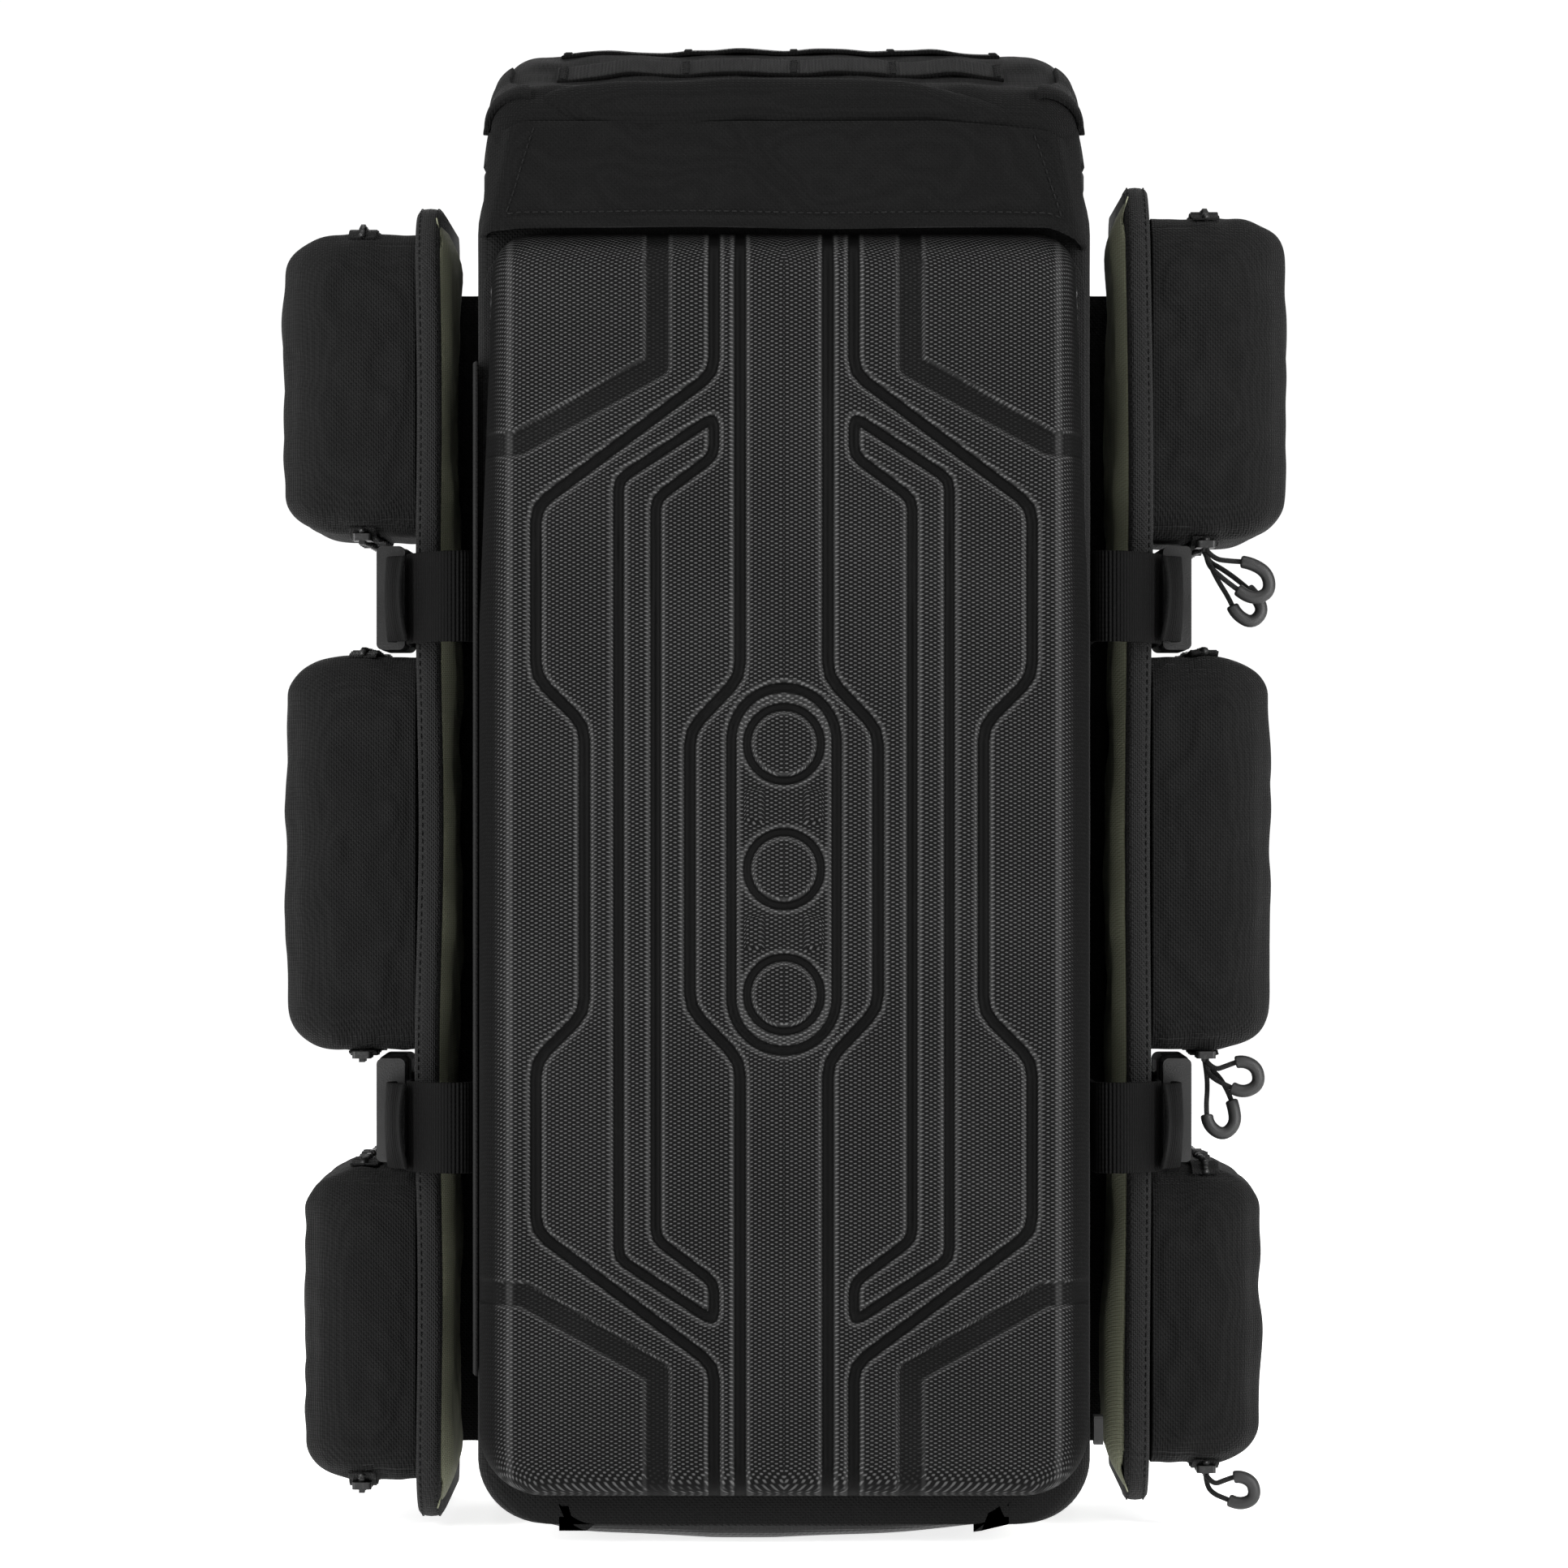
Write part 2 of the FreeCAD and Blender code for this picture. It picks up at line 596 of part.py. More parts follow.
def main():
    os.makedirs("parts", exist_ok=True)
    save("main_body", main_body())
    save("base_panel", base_panel())
    save("frame_sheet", frame_sheet())
    save("frame_stays", *frame_stays())
    save("divider_shelf", divider_shelf())
    save("back_pads", *back_pads())
    save("strap_webbing", *strap_webbing())
    save("ladder_locks", *ladder_locks())
    save("sternum_strap", *sternum_strap())
    save("haul_handle", haul_handle())
    save("lid_cover", lid_cover())
    save("lid_lining", lid_lining())
    save("lid_webbing", *lid_webbing())
    save("front_shell", front_shell())
    save("front_zip", front_zip())
    save("front_zip_slider", front_zip_slider())
    save("wing_gussets", *wing_gussets())
    for side in ("left", "right"):
        save("shoulder_strap_" + side, shoulder_strap(side))
        save("wing_panel_" + side, wing_panel(side))
        save("wing_lining_" + side, wing_lining(side))
        save("buckle_sockets_" + side, *[buckle_socket(side, level) for level in STRAPS])
        for level in STRAPS:
            save("compression_strap_%s_%s" % (side, level), *compression_strap(side, level))
            save("buckle_plug_%s_%s" % (side, level), buckle_plug(side, level))
    for name in POUCHES:
        save("pouch_base_" + name, pouch_base(name))
        save("pouch_cover_" + name, pouch_cover(name))
        save("zip_sliders_" + name, *zip_sliders(name))
        grips = [pull_grip(pull) for pull in PULLS if pull.startswith(name)]
        if grips:
            save("pull_grips_" + name, *grips)
    for pull in PULLS:
        save("pull_cord_" + pull, pull_cord(pull))


main()
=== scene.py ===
# %% [markdown]
# # A tackle backpack in Blender
# The engineering model of the pack already exists: a frame of named parts that move on joints. This file
# dresses that frame. It starts by loading it, because every piece below takes its place from it.

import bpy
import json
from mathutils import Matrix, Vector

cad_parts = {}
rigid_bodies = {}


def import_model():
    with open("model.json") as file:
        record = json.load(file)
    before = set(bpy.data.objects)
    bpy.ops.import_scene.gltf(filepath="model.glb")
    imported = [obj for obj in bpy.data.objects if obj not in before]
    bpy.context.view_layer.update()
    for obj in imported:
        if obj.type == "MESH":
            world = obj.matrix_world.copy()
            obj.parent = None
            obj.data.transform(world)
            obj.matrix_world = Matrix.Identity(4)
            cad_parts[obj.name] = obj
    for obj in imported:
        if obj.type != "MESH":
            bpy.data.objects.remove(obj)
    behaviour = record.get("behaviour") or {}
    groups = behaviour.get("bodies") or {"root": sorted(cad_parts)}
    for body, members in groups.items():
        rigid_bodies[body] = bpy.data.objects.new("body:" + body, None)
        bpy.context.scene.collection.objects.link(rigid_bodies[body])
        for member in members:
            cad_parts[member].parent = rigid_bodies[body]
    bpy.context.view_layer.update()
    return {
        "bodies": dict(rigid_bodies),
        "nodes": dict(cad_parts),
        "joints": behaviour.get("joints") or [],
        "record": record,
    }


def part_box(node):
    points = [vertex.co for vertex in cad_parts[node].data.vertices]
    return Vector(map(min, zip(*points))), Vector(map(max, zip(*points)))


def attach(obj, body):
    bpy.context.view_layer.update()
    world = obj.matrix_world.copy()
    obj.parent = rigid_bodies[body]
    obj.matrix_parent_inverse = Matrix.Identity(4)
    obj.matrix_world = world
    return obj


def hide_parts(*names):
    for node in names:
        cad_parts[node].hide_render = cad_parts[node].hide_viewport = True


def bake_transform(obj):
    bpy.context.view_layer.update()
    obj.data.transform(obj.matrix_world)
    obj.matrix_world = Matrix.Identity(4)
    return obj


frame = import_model()

import json
import math

import bpy
import numpy as np

MM = 0.001
SIDES = (("left", -1), ("right", 1))

# %% [markdown]
# ## The camera
# A long lens from far away keeps the front of the pack nearly free of perspective, as in a product picture.
# The lens is worked out from the width that should fill the picture at the front shell's plane.

# %% Camera
SHELL_LOW, SHELL_HIGH = [np.array(c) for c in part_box("front_shell")]
CAMERA_AWAY = 2.5
VIEW_WIDE = 0.644
VIEW_LEVEL = 0.316
SENSOR = 36.0

bpy.ops.object.camera_add(location=(0, SHELL_LOW[1] - CAMERA_AWAY, VIEW_LEVEL), rotation=(math.pi / 2, 0, 0))
camera = bpy.context.object
camera.data.sensor_width = SENSOR
camera.data.lens = SENSOR * CAMERA_AWAY / VIEW_WIDE
camera.data.clip_end = 50
bpy.context.scene.camera = camera
print("lens", round(camera.data.lens, 1), "mm")

# %% [markdown]
# ## Small tools
# A soft piece is easiest to shape as a grid: Blender adds a flat grid, and a rule says where each of its
# corners goes. Two numbers, u and v, run from 0 to 1 along its sides. Everything else here saves typing:
# selecting one piece, applying a modifier, and handing a finished piece to the frame.


# %% Tools for meshes
def clear():
    """Leave edit mode and select nothing."""
    if bpy.context.object and bpy.context.object.mode != "OBJECT":
        bpy.ops.object.mode_set(mode="OBJECT")
    bpy.ops.object.select_all(action="DESELECT")


def pick(piece):
    """Select one piece and nothing else."""
    clear()
    piece.select_set(True)
    bpy.context.view_layer.objects.active = piece


def named(name):
    piece = bpy.context.object
    piece.name = name
    piece.data.name = name
    return piece


def corners(piece):
    """The places of a mesh's vertices, as an array."""
    flat = np.empty(len(piece.data.vertices) * 3)
    piece.data.vertices.foreach_get("co", flat)
    return flat.reshape(-1, 3)


def move_corners(piece, places):
    piece.data.vertices.foreach_set("co", np.asarray(places, dtype=float).ravel())
    piece.data.update()


def sheet(name, columns, rows, place):
    """A grid of quads laid where place(u, v) says."""
    clear()
    bpy.ops.mesh.primitive_grid_add(x_subdivisions=columns, y_subdivisions=rows, size=1)
    piece = named(name)
    flat = corners(piece)
    x, y, z = place(flat[:, 0] + 0.5, flat[:, 1] + 0.5)
    ones = np.ones(len(flat))
    move_corners(piece, np.stack([x * ones, y * ones, z * ones], axis=1))
    return piece


def stretch_uv(piece, long, wide):
    """Give the UV map real metres, so that a weave on it has its true pitch."""
    layer = piece.data.uv_layers.active.data
    flat = np.empty(len(layer) * 2)
    layer.foreach_get("uv", flat)
    flat = flat.reshape(-1, 2) * (long, wide)
    layer.foreach_set("uv", flat.ravel())


def apply(piece, kind, **settings):
    """Add a modifier and apply it."""
    pick(piece)
    modifier = piece.modifiers.new(kind.title(), kind)
    for key, value in settings.items():
        setattr(modifier, key, value)
    bpy.ops.object.modifier_apply(modifier=modifier.name)


def edit(piece, *steps):
    """Run edit-mode operators on the whole of a piece."""
    pick(piece)
    bpy.ops.object.mode_set(mode="EDIT")
    bpy.ops.mesh.select_all(action="SELECT")
    for step in steps:
        step()
    bpy.ops.object.mode_set(mode="OBJECT")


def weld(piece, gap=0.00002):
    edit(piece, lambda: bpy.ops.mesh.remove_doubles(threshold=gap), bpy.ops.mesh.normals_make_consistent)


def face_towards(piece, direction):
    """Turn an open sheet over if most of it looks away from a direction."""
    look = sum(np.array(f.normal) * f.area for f in piece.data.polygons)
    if np.dot(look, direction) < 0:
        edit(piece, bpy.ops.mesh.flip_normals)


def drop_faces(piece, goes):
    """Delete the faces whose centre meets a test."""
    pick(piece)
    bpy.ops.object.mode_set(mode="EDIT")
    bpy.ops.mesh.select_all(action="DESELECT")
    bpy.ops.mesh.select_mode(type="FACE")
    bpy.ops.object.mode_set(mode="OBJECT")
    for face in piece.data.polygons:
        face.select = bool(goes(face))
    bpy.ops.object.mode_set(mode="EDIT")
    bpy.ops.mesh.delete(type="FACE")
    bpy.ops.mesh.select_mode(type="VERT")
    bpy.ops.object.mode_set(mode="OBJECT")


def shade(piece, angle=None):
    pick(piece)
    if angle is None:
        bpy.ops.object.shade_smooth()
    else:
        bpy.ops.object.shade_smooth_by_angle(angle=math.radians(angle))


def join(name, parts):
    """Make one piece of several."""
    clear()
    for part in parts:
        part.select_set(True)
    bpy.context.view_layer.objects.active = parts[0]
    bpy.ops.object.join()
    return named(name)


def hand_in(piece, body, finishes, slot, *nodes, angle=None):
    """Colour a finished piece and hand it to the frame. A piece that crosses a hinge between two bodies rides on none.
    """
    if not isinstance(finishes, (list, tuple)):
        finishes = [finishes]
    if piece.type == "MESH":
        shade(piece, angle)
    piece.data.materials.clear()
    for finish in finishes:
        piece.data.materials.append(finish)
    if body:
        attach(piece, body)
    if nodes:
        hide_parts(*nodes)
    if piece.type == "MESH":
        print(piece.name, "rides on", body or "two bodies", "with", len(piece.data.polygons), "faces")


def hand_webbing(piece, body, *nodes):
    """Hand in a strap. All straps have the same finish and shading."""
    hand_in(piece, body, WEBBING, "webbing", *nodes, angle=40)


def box_mm(node):
    """The low and high corner of a frame part, in millimetres."""
    return [np.array(corner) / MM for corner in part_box(node)]


# %% [markdown]
# Cloth is never even. `ripple` adds up waves that run in many directions, which gives soft folds that are
# the same at each run. `smooth_line` draws a soft line through a few points, for straps and seams.


# %% Folds and lines
def ripple(a, b, size, seed, waves=9):
    """Soft bumps of about one size over a surface, between -1 and 1."""
    chance = np.random.default_rng(seed)
    total = 0
    for _ in range(waves):
        turn = chance.uniform(0, math.pi)
        pitch = size * chance.uniform(0.7, 1.6)
        phase = chance.uniform(0, 2 * math.pi)
        total = total + np.sin(2 * math.pi * (a * math.cos(turn) + b * math.sin(turn)) / pitch + phase)
    return total / math.sqrt(waves * 2)


def step(low, high, value):
    """0 below low, 1 above high, and a soft slope between them."""
    t = np.clip((value - low) / (high - low), 0, 1)
    return t * t * (3 - 2 * t)


def smooth_line(points, count, closed=False):
    """Points at even distances on a soft curve through the given ones."""
    p = np.array(points, dtype=float)
    p = np.vstack([p[-1], p, p[0], p[1]]) if closed else np.vstack([2 * p[0] - p[1], p, 2 * p[-1] - p[-2]])
    fine = []
    for a, b, c, d in zip(p, p[1:], p[2:], p[3:]):
        t = np.linspace(0, 1, 24, endpoint=False)[:, None]
        fine.append(0.5 * (2 * b + (c - a) * t + (2 * a - 5 * b + 4 * c - d) * t ** 2
                           + (3 * b - a - 3 * c + d) * t ** 3))
    fine = np.vstack(fine + [p[-2][None, :]])
    return even(fine, count)


def distances(line):
    """How far along a line each of its points lies."""
    return np.concatenate([[0], np.cumsum(np.linalg.norm(np.diff(line, axis=0), axis=1))])


def unit(rows):
    """Each row of an array, at length 1."""
    return rows / np.linalg.norm(rows, axis=1)[:, None]


def nearest_row(share, count):
    """Which of count rows lies at a share of the way from the first to the last."""
    return np.rint(share * (count - 1)).astype(int)


def even(line, count):
    """The same line with its points at even distances."""
    line = np.array(line, dtype=float)
    along = distances(line)
    wanted = np.linspace(0, along[-1], count)
    return np.stack([np.interp(wanted, along, line[:, i]) for i in range(line.shape[1])], axis=1)


def at_share(path, share):
    """Where on a path, given by its points, a share of the way along lies."""
    return [np.interp(share * (len(path) - 1), np.arange(len(path)), part) for part in path.T]


def line_length(line):
    return float(np.linalg.norm(np.diff(np.asarray(line), axis=0), axis=1).sum())


def sweep(name, line, section, across, closed=False):
    """Carry a closed outline along a line. Its first number goes along 'across', its second away from it."""
    line = np.asarray(line, dtype=float)
    section = np.array(list(section) + [section[0]], dtype=float)
    ahead = np.roll(line, -1, axis=0) - np.roll(line, 1, axis=0)
    if not closed:
        ahead[0] = line[1] - line[0]
        ahead[-1] = line[-1] - line[-2]
    if closed:
        line = np.vstack([line, line[:1]])
        ahead = np.vstack([ahead, ahead[:1]])
    ahead = unit(ahead)
    side = np.broadcast_to(np.array(across, dtype=float), line.shape)
    side = unit(side - (side * ahead).sum(axis=1)[:, None] * ahead)
    away = np.cross(ahead, side)

    def place(u, v):
        i = nearest_row(u, len(line))
        j = nearest_row(v, len(section))
        spot = line[i] + side[i] * section[j, 0:1] + away[i] * section[j, 1:2]
        return spot[:, 0], spot[:, 1], spot[:, 2]

    piece = sheet(name, len(line) - 1, len(section) - 1, place)
    stretch_uv(piece, line_length(line), line_length(section))
    weld(piece)
    if not closed:
        edit(piece, lambda: bpy.ops.mesh.select_all(action="DESELECT"),
             bpy.ops.mesh.select_non_manifold, bpy.ops.mesh.edge_face_add)
        weld(piece)
    return piece


def rounded_bar(wide, thick, radius, steps=3):
    """The outline of a bar with rounded corners, for sweep."""
    outline = []
    for turn, (sx, sy) in enumerate([(1, 1), (-1, 1), (-1, -1), (1, -1)]):
        for k in range(steps + 1):
            angle = math.pi / 2 * (turn + k / steps)
            outline.append((sx * (wide / 2 - radius) + radius * math.cos(angle),
                            sy * (thick / 2 - radius) + radius * math.sin(angle)))
    return outline


def webbing_band(name, line, across, wide, thick, ribs=10):
    """A flat strap along a line, with its UV map in metres: along, then across."""
    line = np.asarray(line, dtype=float)
    side = unit(np.broadcast_to(np.array(across, dtype=float), line.shape))

    def place(u, v):
        i = nearest_row(u, len(line))
        spot = line[i] + side[i] * ((v - 0.5) * wide)[:, None]
        return spot[:, 0], spot[:, 1], spot[:, 2]

    piece = sheet(name, len(line) - 1, ribs, place)
    stretch_uv(piece, line_length(line), wide)
    apply(piece, "SOLIDIFY", thickness=thick, offset=0, use_even_offset=True)
    apply(piece, "BEVEL", width=thick * 0.3, segments=2, limit_method="ANGLE", angle_limit=1.0)
    return piece


# %% [markdown]
# ## Shader maths
# A finish is a small sum: weave plus dust plus wear. Writing it as a sum in Python is easier to read than
# wiring boxes, so a class wraps one output of a node and gives it +, -, * and /.


# %% The shader tools
class Value:
    """One number or colour inside a finish."""

    def __init__(self, finish, socket):
        self.finish = finish
        self.socket = socket

    def math(self, operation, other=None, first=False):
        inputs = [other, self] if first else [self, other]
        if other is None:
            inputs = [self]
        return self.finish.node("ShaderNodeMath", {"operation": operation}, inputs)

    def __add__(self, other):
        return self.math("ADD", other)

    def __sub__(self, other):
        return self.math("SUBTRACT", other)

    def __rsub__(self, other):
        return self.math("SUBTRACT", other, first=True)

    def __mul__(self, other):
        return self.math("MULTIPLY", other)

    def __truediv__(self, other):
        return self.math("DIVIDE", other)

    __radd__ = __add__
    __rmul__ = __mul__

    def sin(self):
        return self.math("SINE")

    def size(self):
        return self.math("ABSOLUTE")

    def highest(self, other):
        return self.math("MAXIMUM", other)

    def ramp(self, low, high):
        """0 below low, 1 above high."""
        return self.finish.node("ShaderNodeMapRange", {"interpolation_type": "SMOOTHSTEP"}, [self, low, high])


class Finish:
    """A material with one Principled shader."""

    def __init__(self, name, **settings):
        self.material = bpy.data.materials.new(name)
        self.material.use_nodes = True
        self.tree = self.material.node_tree
        self.shader = self.tree.nodes["Principled BSDF"]
        for key, value in settings.items():
            self.shader.inputs[key.replace("_", " ")].default_value = value

    def node(self, kind, settings, inputs, output=0):
        made = self.tree.nodes.new(kind)
        for key, value in settings.items():
            setattr(made, key, value)
        pairs = inputs.items() if isinstance(inputs, dict) else enumerate(inputs)
        for key, value in pairs:
            if isinstance(value, Value):
                self.tree.links.new(value.socket, made.inputs[key])
            else:
                made.inputs[key].default_value = value
        return Value(self, made.outputs[output])

    def place(self, output="Object"):
        return self.node("ShaderNodeTexCoord", {}, [], output)

    def axes(self, place):
        split = self.node("ShaderNodeSeparateXYZ", {}, [place])
        return [Value(self, out) for out in split.socket.node.outputs]

    def noise(self, place, scale, detail=2.0, rough=0.5):
        return self.node("ShaderNodeTexNoise", {},
                         {"Vector": place, "Scale": scale, "Detail": detail, "Roughness": rough})

    def mix(self, amount, first, second):
        return self.node("ShaderNodeMix", {"data_type": "RGBA"}, {0: amount, 6: first, 7: second}, 2)

    def colour(self, value):
        self.tree.links.new(value.socket, self.shader.inputs["Base Color"])

    def rough(self, value):
        self.tree.links.new(value.socket, self.shader.inputs["Roughness"])

    def bump(self, height, depth, strength=1.0):
        bump = self.node("ShaderNodeBump", {}, {"Height": height, "Distance": depth, "Strength": strength})
        self.tree.links.new(bump.socket, self.shader.inputs["Normal"])


def grey(level, warm=0.0):
    return (level + warm, level, level - warm, 1.0)


# %% [markdown]
# ## The finishes
# Nearly all of the pack is black, so its parts are told apart by how they catch the light. The moulded
# shell is covered in a ballistic weave that is pressed into foam: small raised lozenges, set like bricks.
# The weave has to turn round the rim, so its two counts run along |x| + y and z + y.


# %% Moulded shell finish
WEAVE_ACROSS, WEAVE_UP = 3.5 * MM, 1.75 * MM
# The x where a painted highlight runs down each side of the shell; painted shade darkens the colour beyond it.
RIM_PAINTED_HIGHLIGHT_LINE = 113.0 * MM


def moulded_finish():
    """Lozenges, flattened in the channels. The piece carries how far each point is from a channel.
    A painted highlight runs down each side a little inside the rim, and painted shade darkens the cloth beyond it.
    Painted highlights also lighten the channel shoulders, the band edges and the lozenge tops, and painted shade
    darkens the channels."""
    f = Finish("moulded_eva", Specular_IOR_Level=0.08)
    place = f.place()
    x, y, z = f.axes(place)
    across = ((x.size() + y) * (2 * math.pi / WEAVE_ACROSS)).sin()
    upward = ((z + y) * (2 * math.pi / WEAVE_UP)).sin()
    gap = f.node("ShaderNodeAttribute", {"attribute_name": "channel_gap"}, [], 2)
    band = f.node("ShaderNodeAttribute", {"attribute_name": "band_gap"}, [], 2)
    woven = gap.ramp(-0.3, 0.5) * (band.ramp(-0.6, 0.6) * 0.75 + 0.25)
    raised = (across * upward).ramp(-0.15, 0.95) * woven
    # Painted highlight: the shoulders, the band edges and the rim line lighten the colour where they would catch the
    # side lamps.
    shoulder = gap.ramp(-0.2, 0.7) * (1 - gap.ramp(1.0, 2.4))
    band_edge_painted_highlight = (1 - (band - 0.6).size().ramp(0.3, 1.4)) * 0.5
    rim = (x.size() - RIM_PAINTED_HIGHLIGHT_LINE) / MM
    edge = shoulder.highest(band_edge_painted_highlight).highest((1 - rim.size().ramp(0.4, 2.2)) * 0.8) * (raised * 0.8 + 0.2)
    # Painted shade: lit darkens the colour of the sides beyond the rim line, where they turn away from the lamps.
    lit = 1 - rim.ramp(3.0, 7.0) * 0.93
    dust = f.noise(place, 900.0, 2.0)
    patch = f.noise(place, 16.0, 3.0)
    # Painted highlight and shade: tone makes the raised lozenge tops far lighter than the gaps and the channel floors;
    # dust and patches add real uneven tone.
    tone = (raised * 0.85 + dust * 0.2 + patch * 0.25 - 0.2).ramp(0.0, 1.0)
    # The colour lays the painted highlights over the painted lozenge tone, and the painted rim shade darkens both.
    f.colour(f.mix(edge * lit, f.mix(tone * lit, grey(0.0006), grey(0.0580)), grey(0.085)))
    f.rough(0.62 - raised * 0.16 * lit + patch * 0.08 + dust * 0.06)
    f.bump(raised * 0.42 + dust * 0.05 + gap.ramp(-0.9, 1.1) * 1.1 + band.ramp(-1.0, 1.0) * 0.5, 0.001)
    return f.material


# %% [markdown]
# Woven fabric has threads in two directions. One sine along each axis is enough for the bump: on any flat
# side of the pack two of the three directions show. Slow noise changes the tone, fine noise breaks it up.


# %% Fabric finishes
def woven_finish(name, dark, light, pitch, rough=0.82, sheen=0.03, depth=0.00022, gloss=0.14):
    f = Finish(name, Sheen_Weight=sheen, Sheen_Roughness=0.5, Specular_IOR_Level=gloss)
    place = f.place()
    x, y, z = f.axes(place)
    count = 2 * math.pi / pitch
    weave = (x * count).sin() * 0.33 + (y * count).sin() * 0.33 + (z * count).sin() * 0.33
    twist = ((x + y + z) * count * 0.5).sin()
    patch = f.noise(place, 18.0, 4.0)
    fuzz = f.noise(place, 1400.0, 2.0)
    tone = (weave * 0.35 + twist * 0.12 + fuzz * 0.6 + patch * 0.5 - 0.2).ramp(-0.1, 1.1)
    f.colour(f.mix(tone, dark, light))
    f.rough(rough - 0.06 + patch * 0.12)
    f.bump(weave + twist * 0.4 + fuzz * 0.5, depth)
    return f.material


def webbing_finish(name, dark, light):
    """Ribs that run across the strap, each cut into short cells."""
    f = Finish(name, Sheen_Weight=0.006, Sheen_Roughness=0.4, Specular_IOR_Level=0.08)
    place = f.place("UV")
    along, across, _ = f.axes(place)
    rib = (along * (2 * math.pi / (1.5 * MM))).sin()
    cell = (across * (2 * math.pi / (2.1 * MM))).sin()
    fuzz = f.noise(f.place(), 1200.0, 2.0)
    patch = f.noise(f.place(), 30.0, 3.0)
    tone = (rib * 0.3 + cell * 0.15 + fuzz * 0.5 + patch * 0.4).ramp(0.0, 1.2)
    f.colour(f.mix(tone, dark, light))
    f.rough(0.62 + patch * 0.15)
    f.bump(rib + cell * 0.35 * rib + fuzz * 0.3, 0.00025)
    return f.material


def mesh_finish():
    """Air mesh: rows of small round holes in a spongy knit."""
    f = Finish("air_mesh", Sheen_Weight=0.05, Specular_IOR_Level=0.15)
    place = f.place()
    cells = f.node("ShaderNodeTexVoronoi", {"feature": "F1"}, {"Vector": place, "Scale": 330.0, "Randomness": 0.25})
    hole = cells.ramp(0.25, 0.5)
    patch = f.noise(place, 20.0, 3.0)
    f.colour(f.mix((hole * 0.7 + patch * 0.4).ramp(0.1, 1.0), grey(0.004), grey(0.02)))
    f.rough(0.85 - patch * 0.1)
    f.bump(hole, 0.0007)
    return f.material


# %% [markdown]
# Plastic and metal parts are smoother. Moulded plastic has a fine orange-peel grain, and paint on a zip
# slider wears at random spots.


# %% Hard finishes
def plastic_finish(name, low, high, rough, grain):
    f = Finish(name, Specular_IOR_Level=0.5)
    place = f.place()
    peel = f.noise(place, grain, 2.0)
    patch = f.noise(place, 60.0, 3.0)
    f.colour(f.mix(patch.ramp(0.3, 0.7), low, high))
    f.rough(rough + peel * 0.1 + patch * 0.08 - 0.06)
    f.bump(peel, 0.00012)
    return f.material


def metal_finish(name, low, high, rough, metallic):
    f = Finish(name, Metallic=metallic)
    place = f.place()
    worn = f.noise(place, 500.0, 4.0, 0.7)
    f.colour(f.mix(worn.ramp(0.52, 0.66), low, high))
    f.rough(rough + worn * 0.2)
    f.bump(worn, 0.00008)
    return f.material


def braid_finish():
    f = Finish("braided_cord", Sheen_Weight=0.03, Specular_IOR_Level=0.2)
    place = f.place()
    x, _, z = f.axes(place)
    count = 2 * math.pi / (1.1 * MM)
    braid = ((x + z) * count).sin() * ((x - z) * count).sin()
    fuzz = f.noise(place, 1500.0, 2.0)
    f.colour(f.mix((braid * 0.4 + fuzz * 0.5).ramp(0.0, 0.8), grey(0.008), grey(0.024)))
    f.rough(0.7 + fuzz * 0.1)
    f.bump(braid + fuzz * 0.3, 0.0002)
    return f.material


EVA = moulded_finish()
FABRIC = woven_finish("pack_fabric", grey(0.0024), grey(0.0082), 1.05 * MM, gloss=0.12)
# The lid's cloth is the pack fabric at about half its brightness. This is painted shade, so that the top lamp does not
# make the lid lighter than the pouches.
LID_SHADED_FABRIC = woven_finish("lid_fabric_painted_shade", grey(0.0012), grey(0.0042), 1.05 * MM, sheen=0.015, gloss=0.08)
COATED = woven_finish("coated_fabric", grey(0.003), grey(0.010), 1.4 * MM, rough=0.5, gloss=0.25)
OLIVE = woven_finish("olive_lining", (0.145, 0.150, 0.100, 1), (0.270, 0.280, 0.200, 1), 0.8 * MM, 0.7, 0.03, 0.00012)
BINDING = woven_finish("binding_tape", grey(0.0065), grey(0.0180), 0.9 * MM, rough=0.75)
WEBBING = webbing_finish("webbing", grey(0.0004), grey(0.0030))
TAPE = woven_finish("zip_tape", grey(0.003), grey(0.009), 0.7 * MM, rough=0.7)
THREAD = woven_finish("thread", grey(0.002), grey(0.006), 0.6 * MM, rough=0.6)
MESH = mesh_finish()
ACETAL = plastic_finish("buckle_acetal", grey(0.004), grey(0.008), 0.32, 1500.0)
COIL = plastic_finish("zip_coil", grey(0.005), grey(0.010), 0.4, 2500.0)
GRIP = plastic_finish("grip_rubber", grey(0.006), grey(0.011), 0.5, 2500.0)
SHEET = plastic_finish("frame_plastic", grey(0.02), grey(0.03), 0.5, 900.0)
PAINTED = metal_finish("slider_paint", grey(0.012), grey(0.03), 0.35, 0.3)
ALUMINIUM = metal_finish("stay_aluminium", grey(0.6), grey(0.75), 0.35, 1.0)
CORD = braid_finish()
print(len(bpy.data.materials), "finishes")
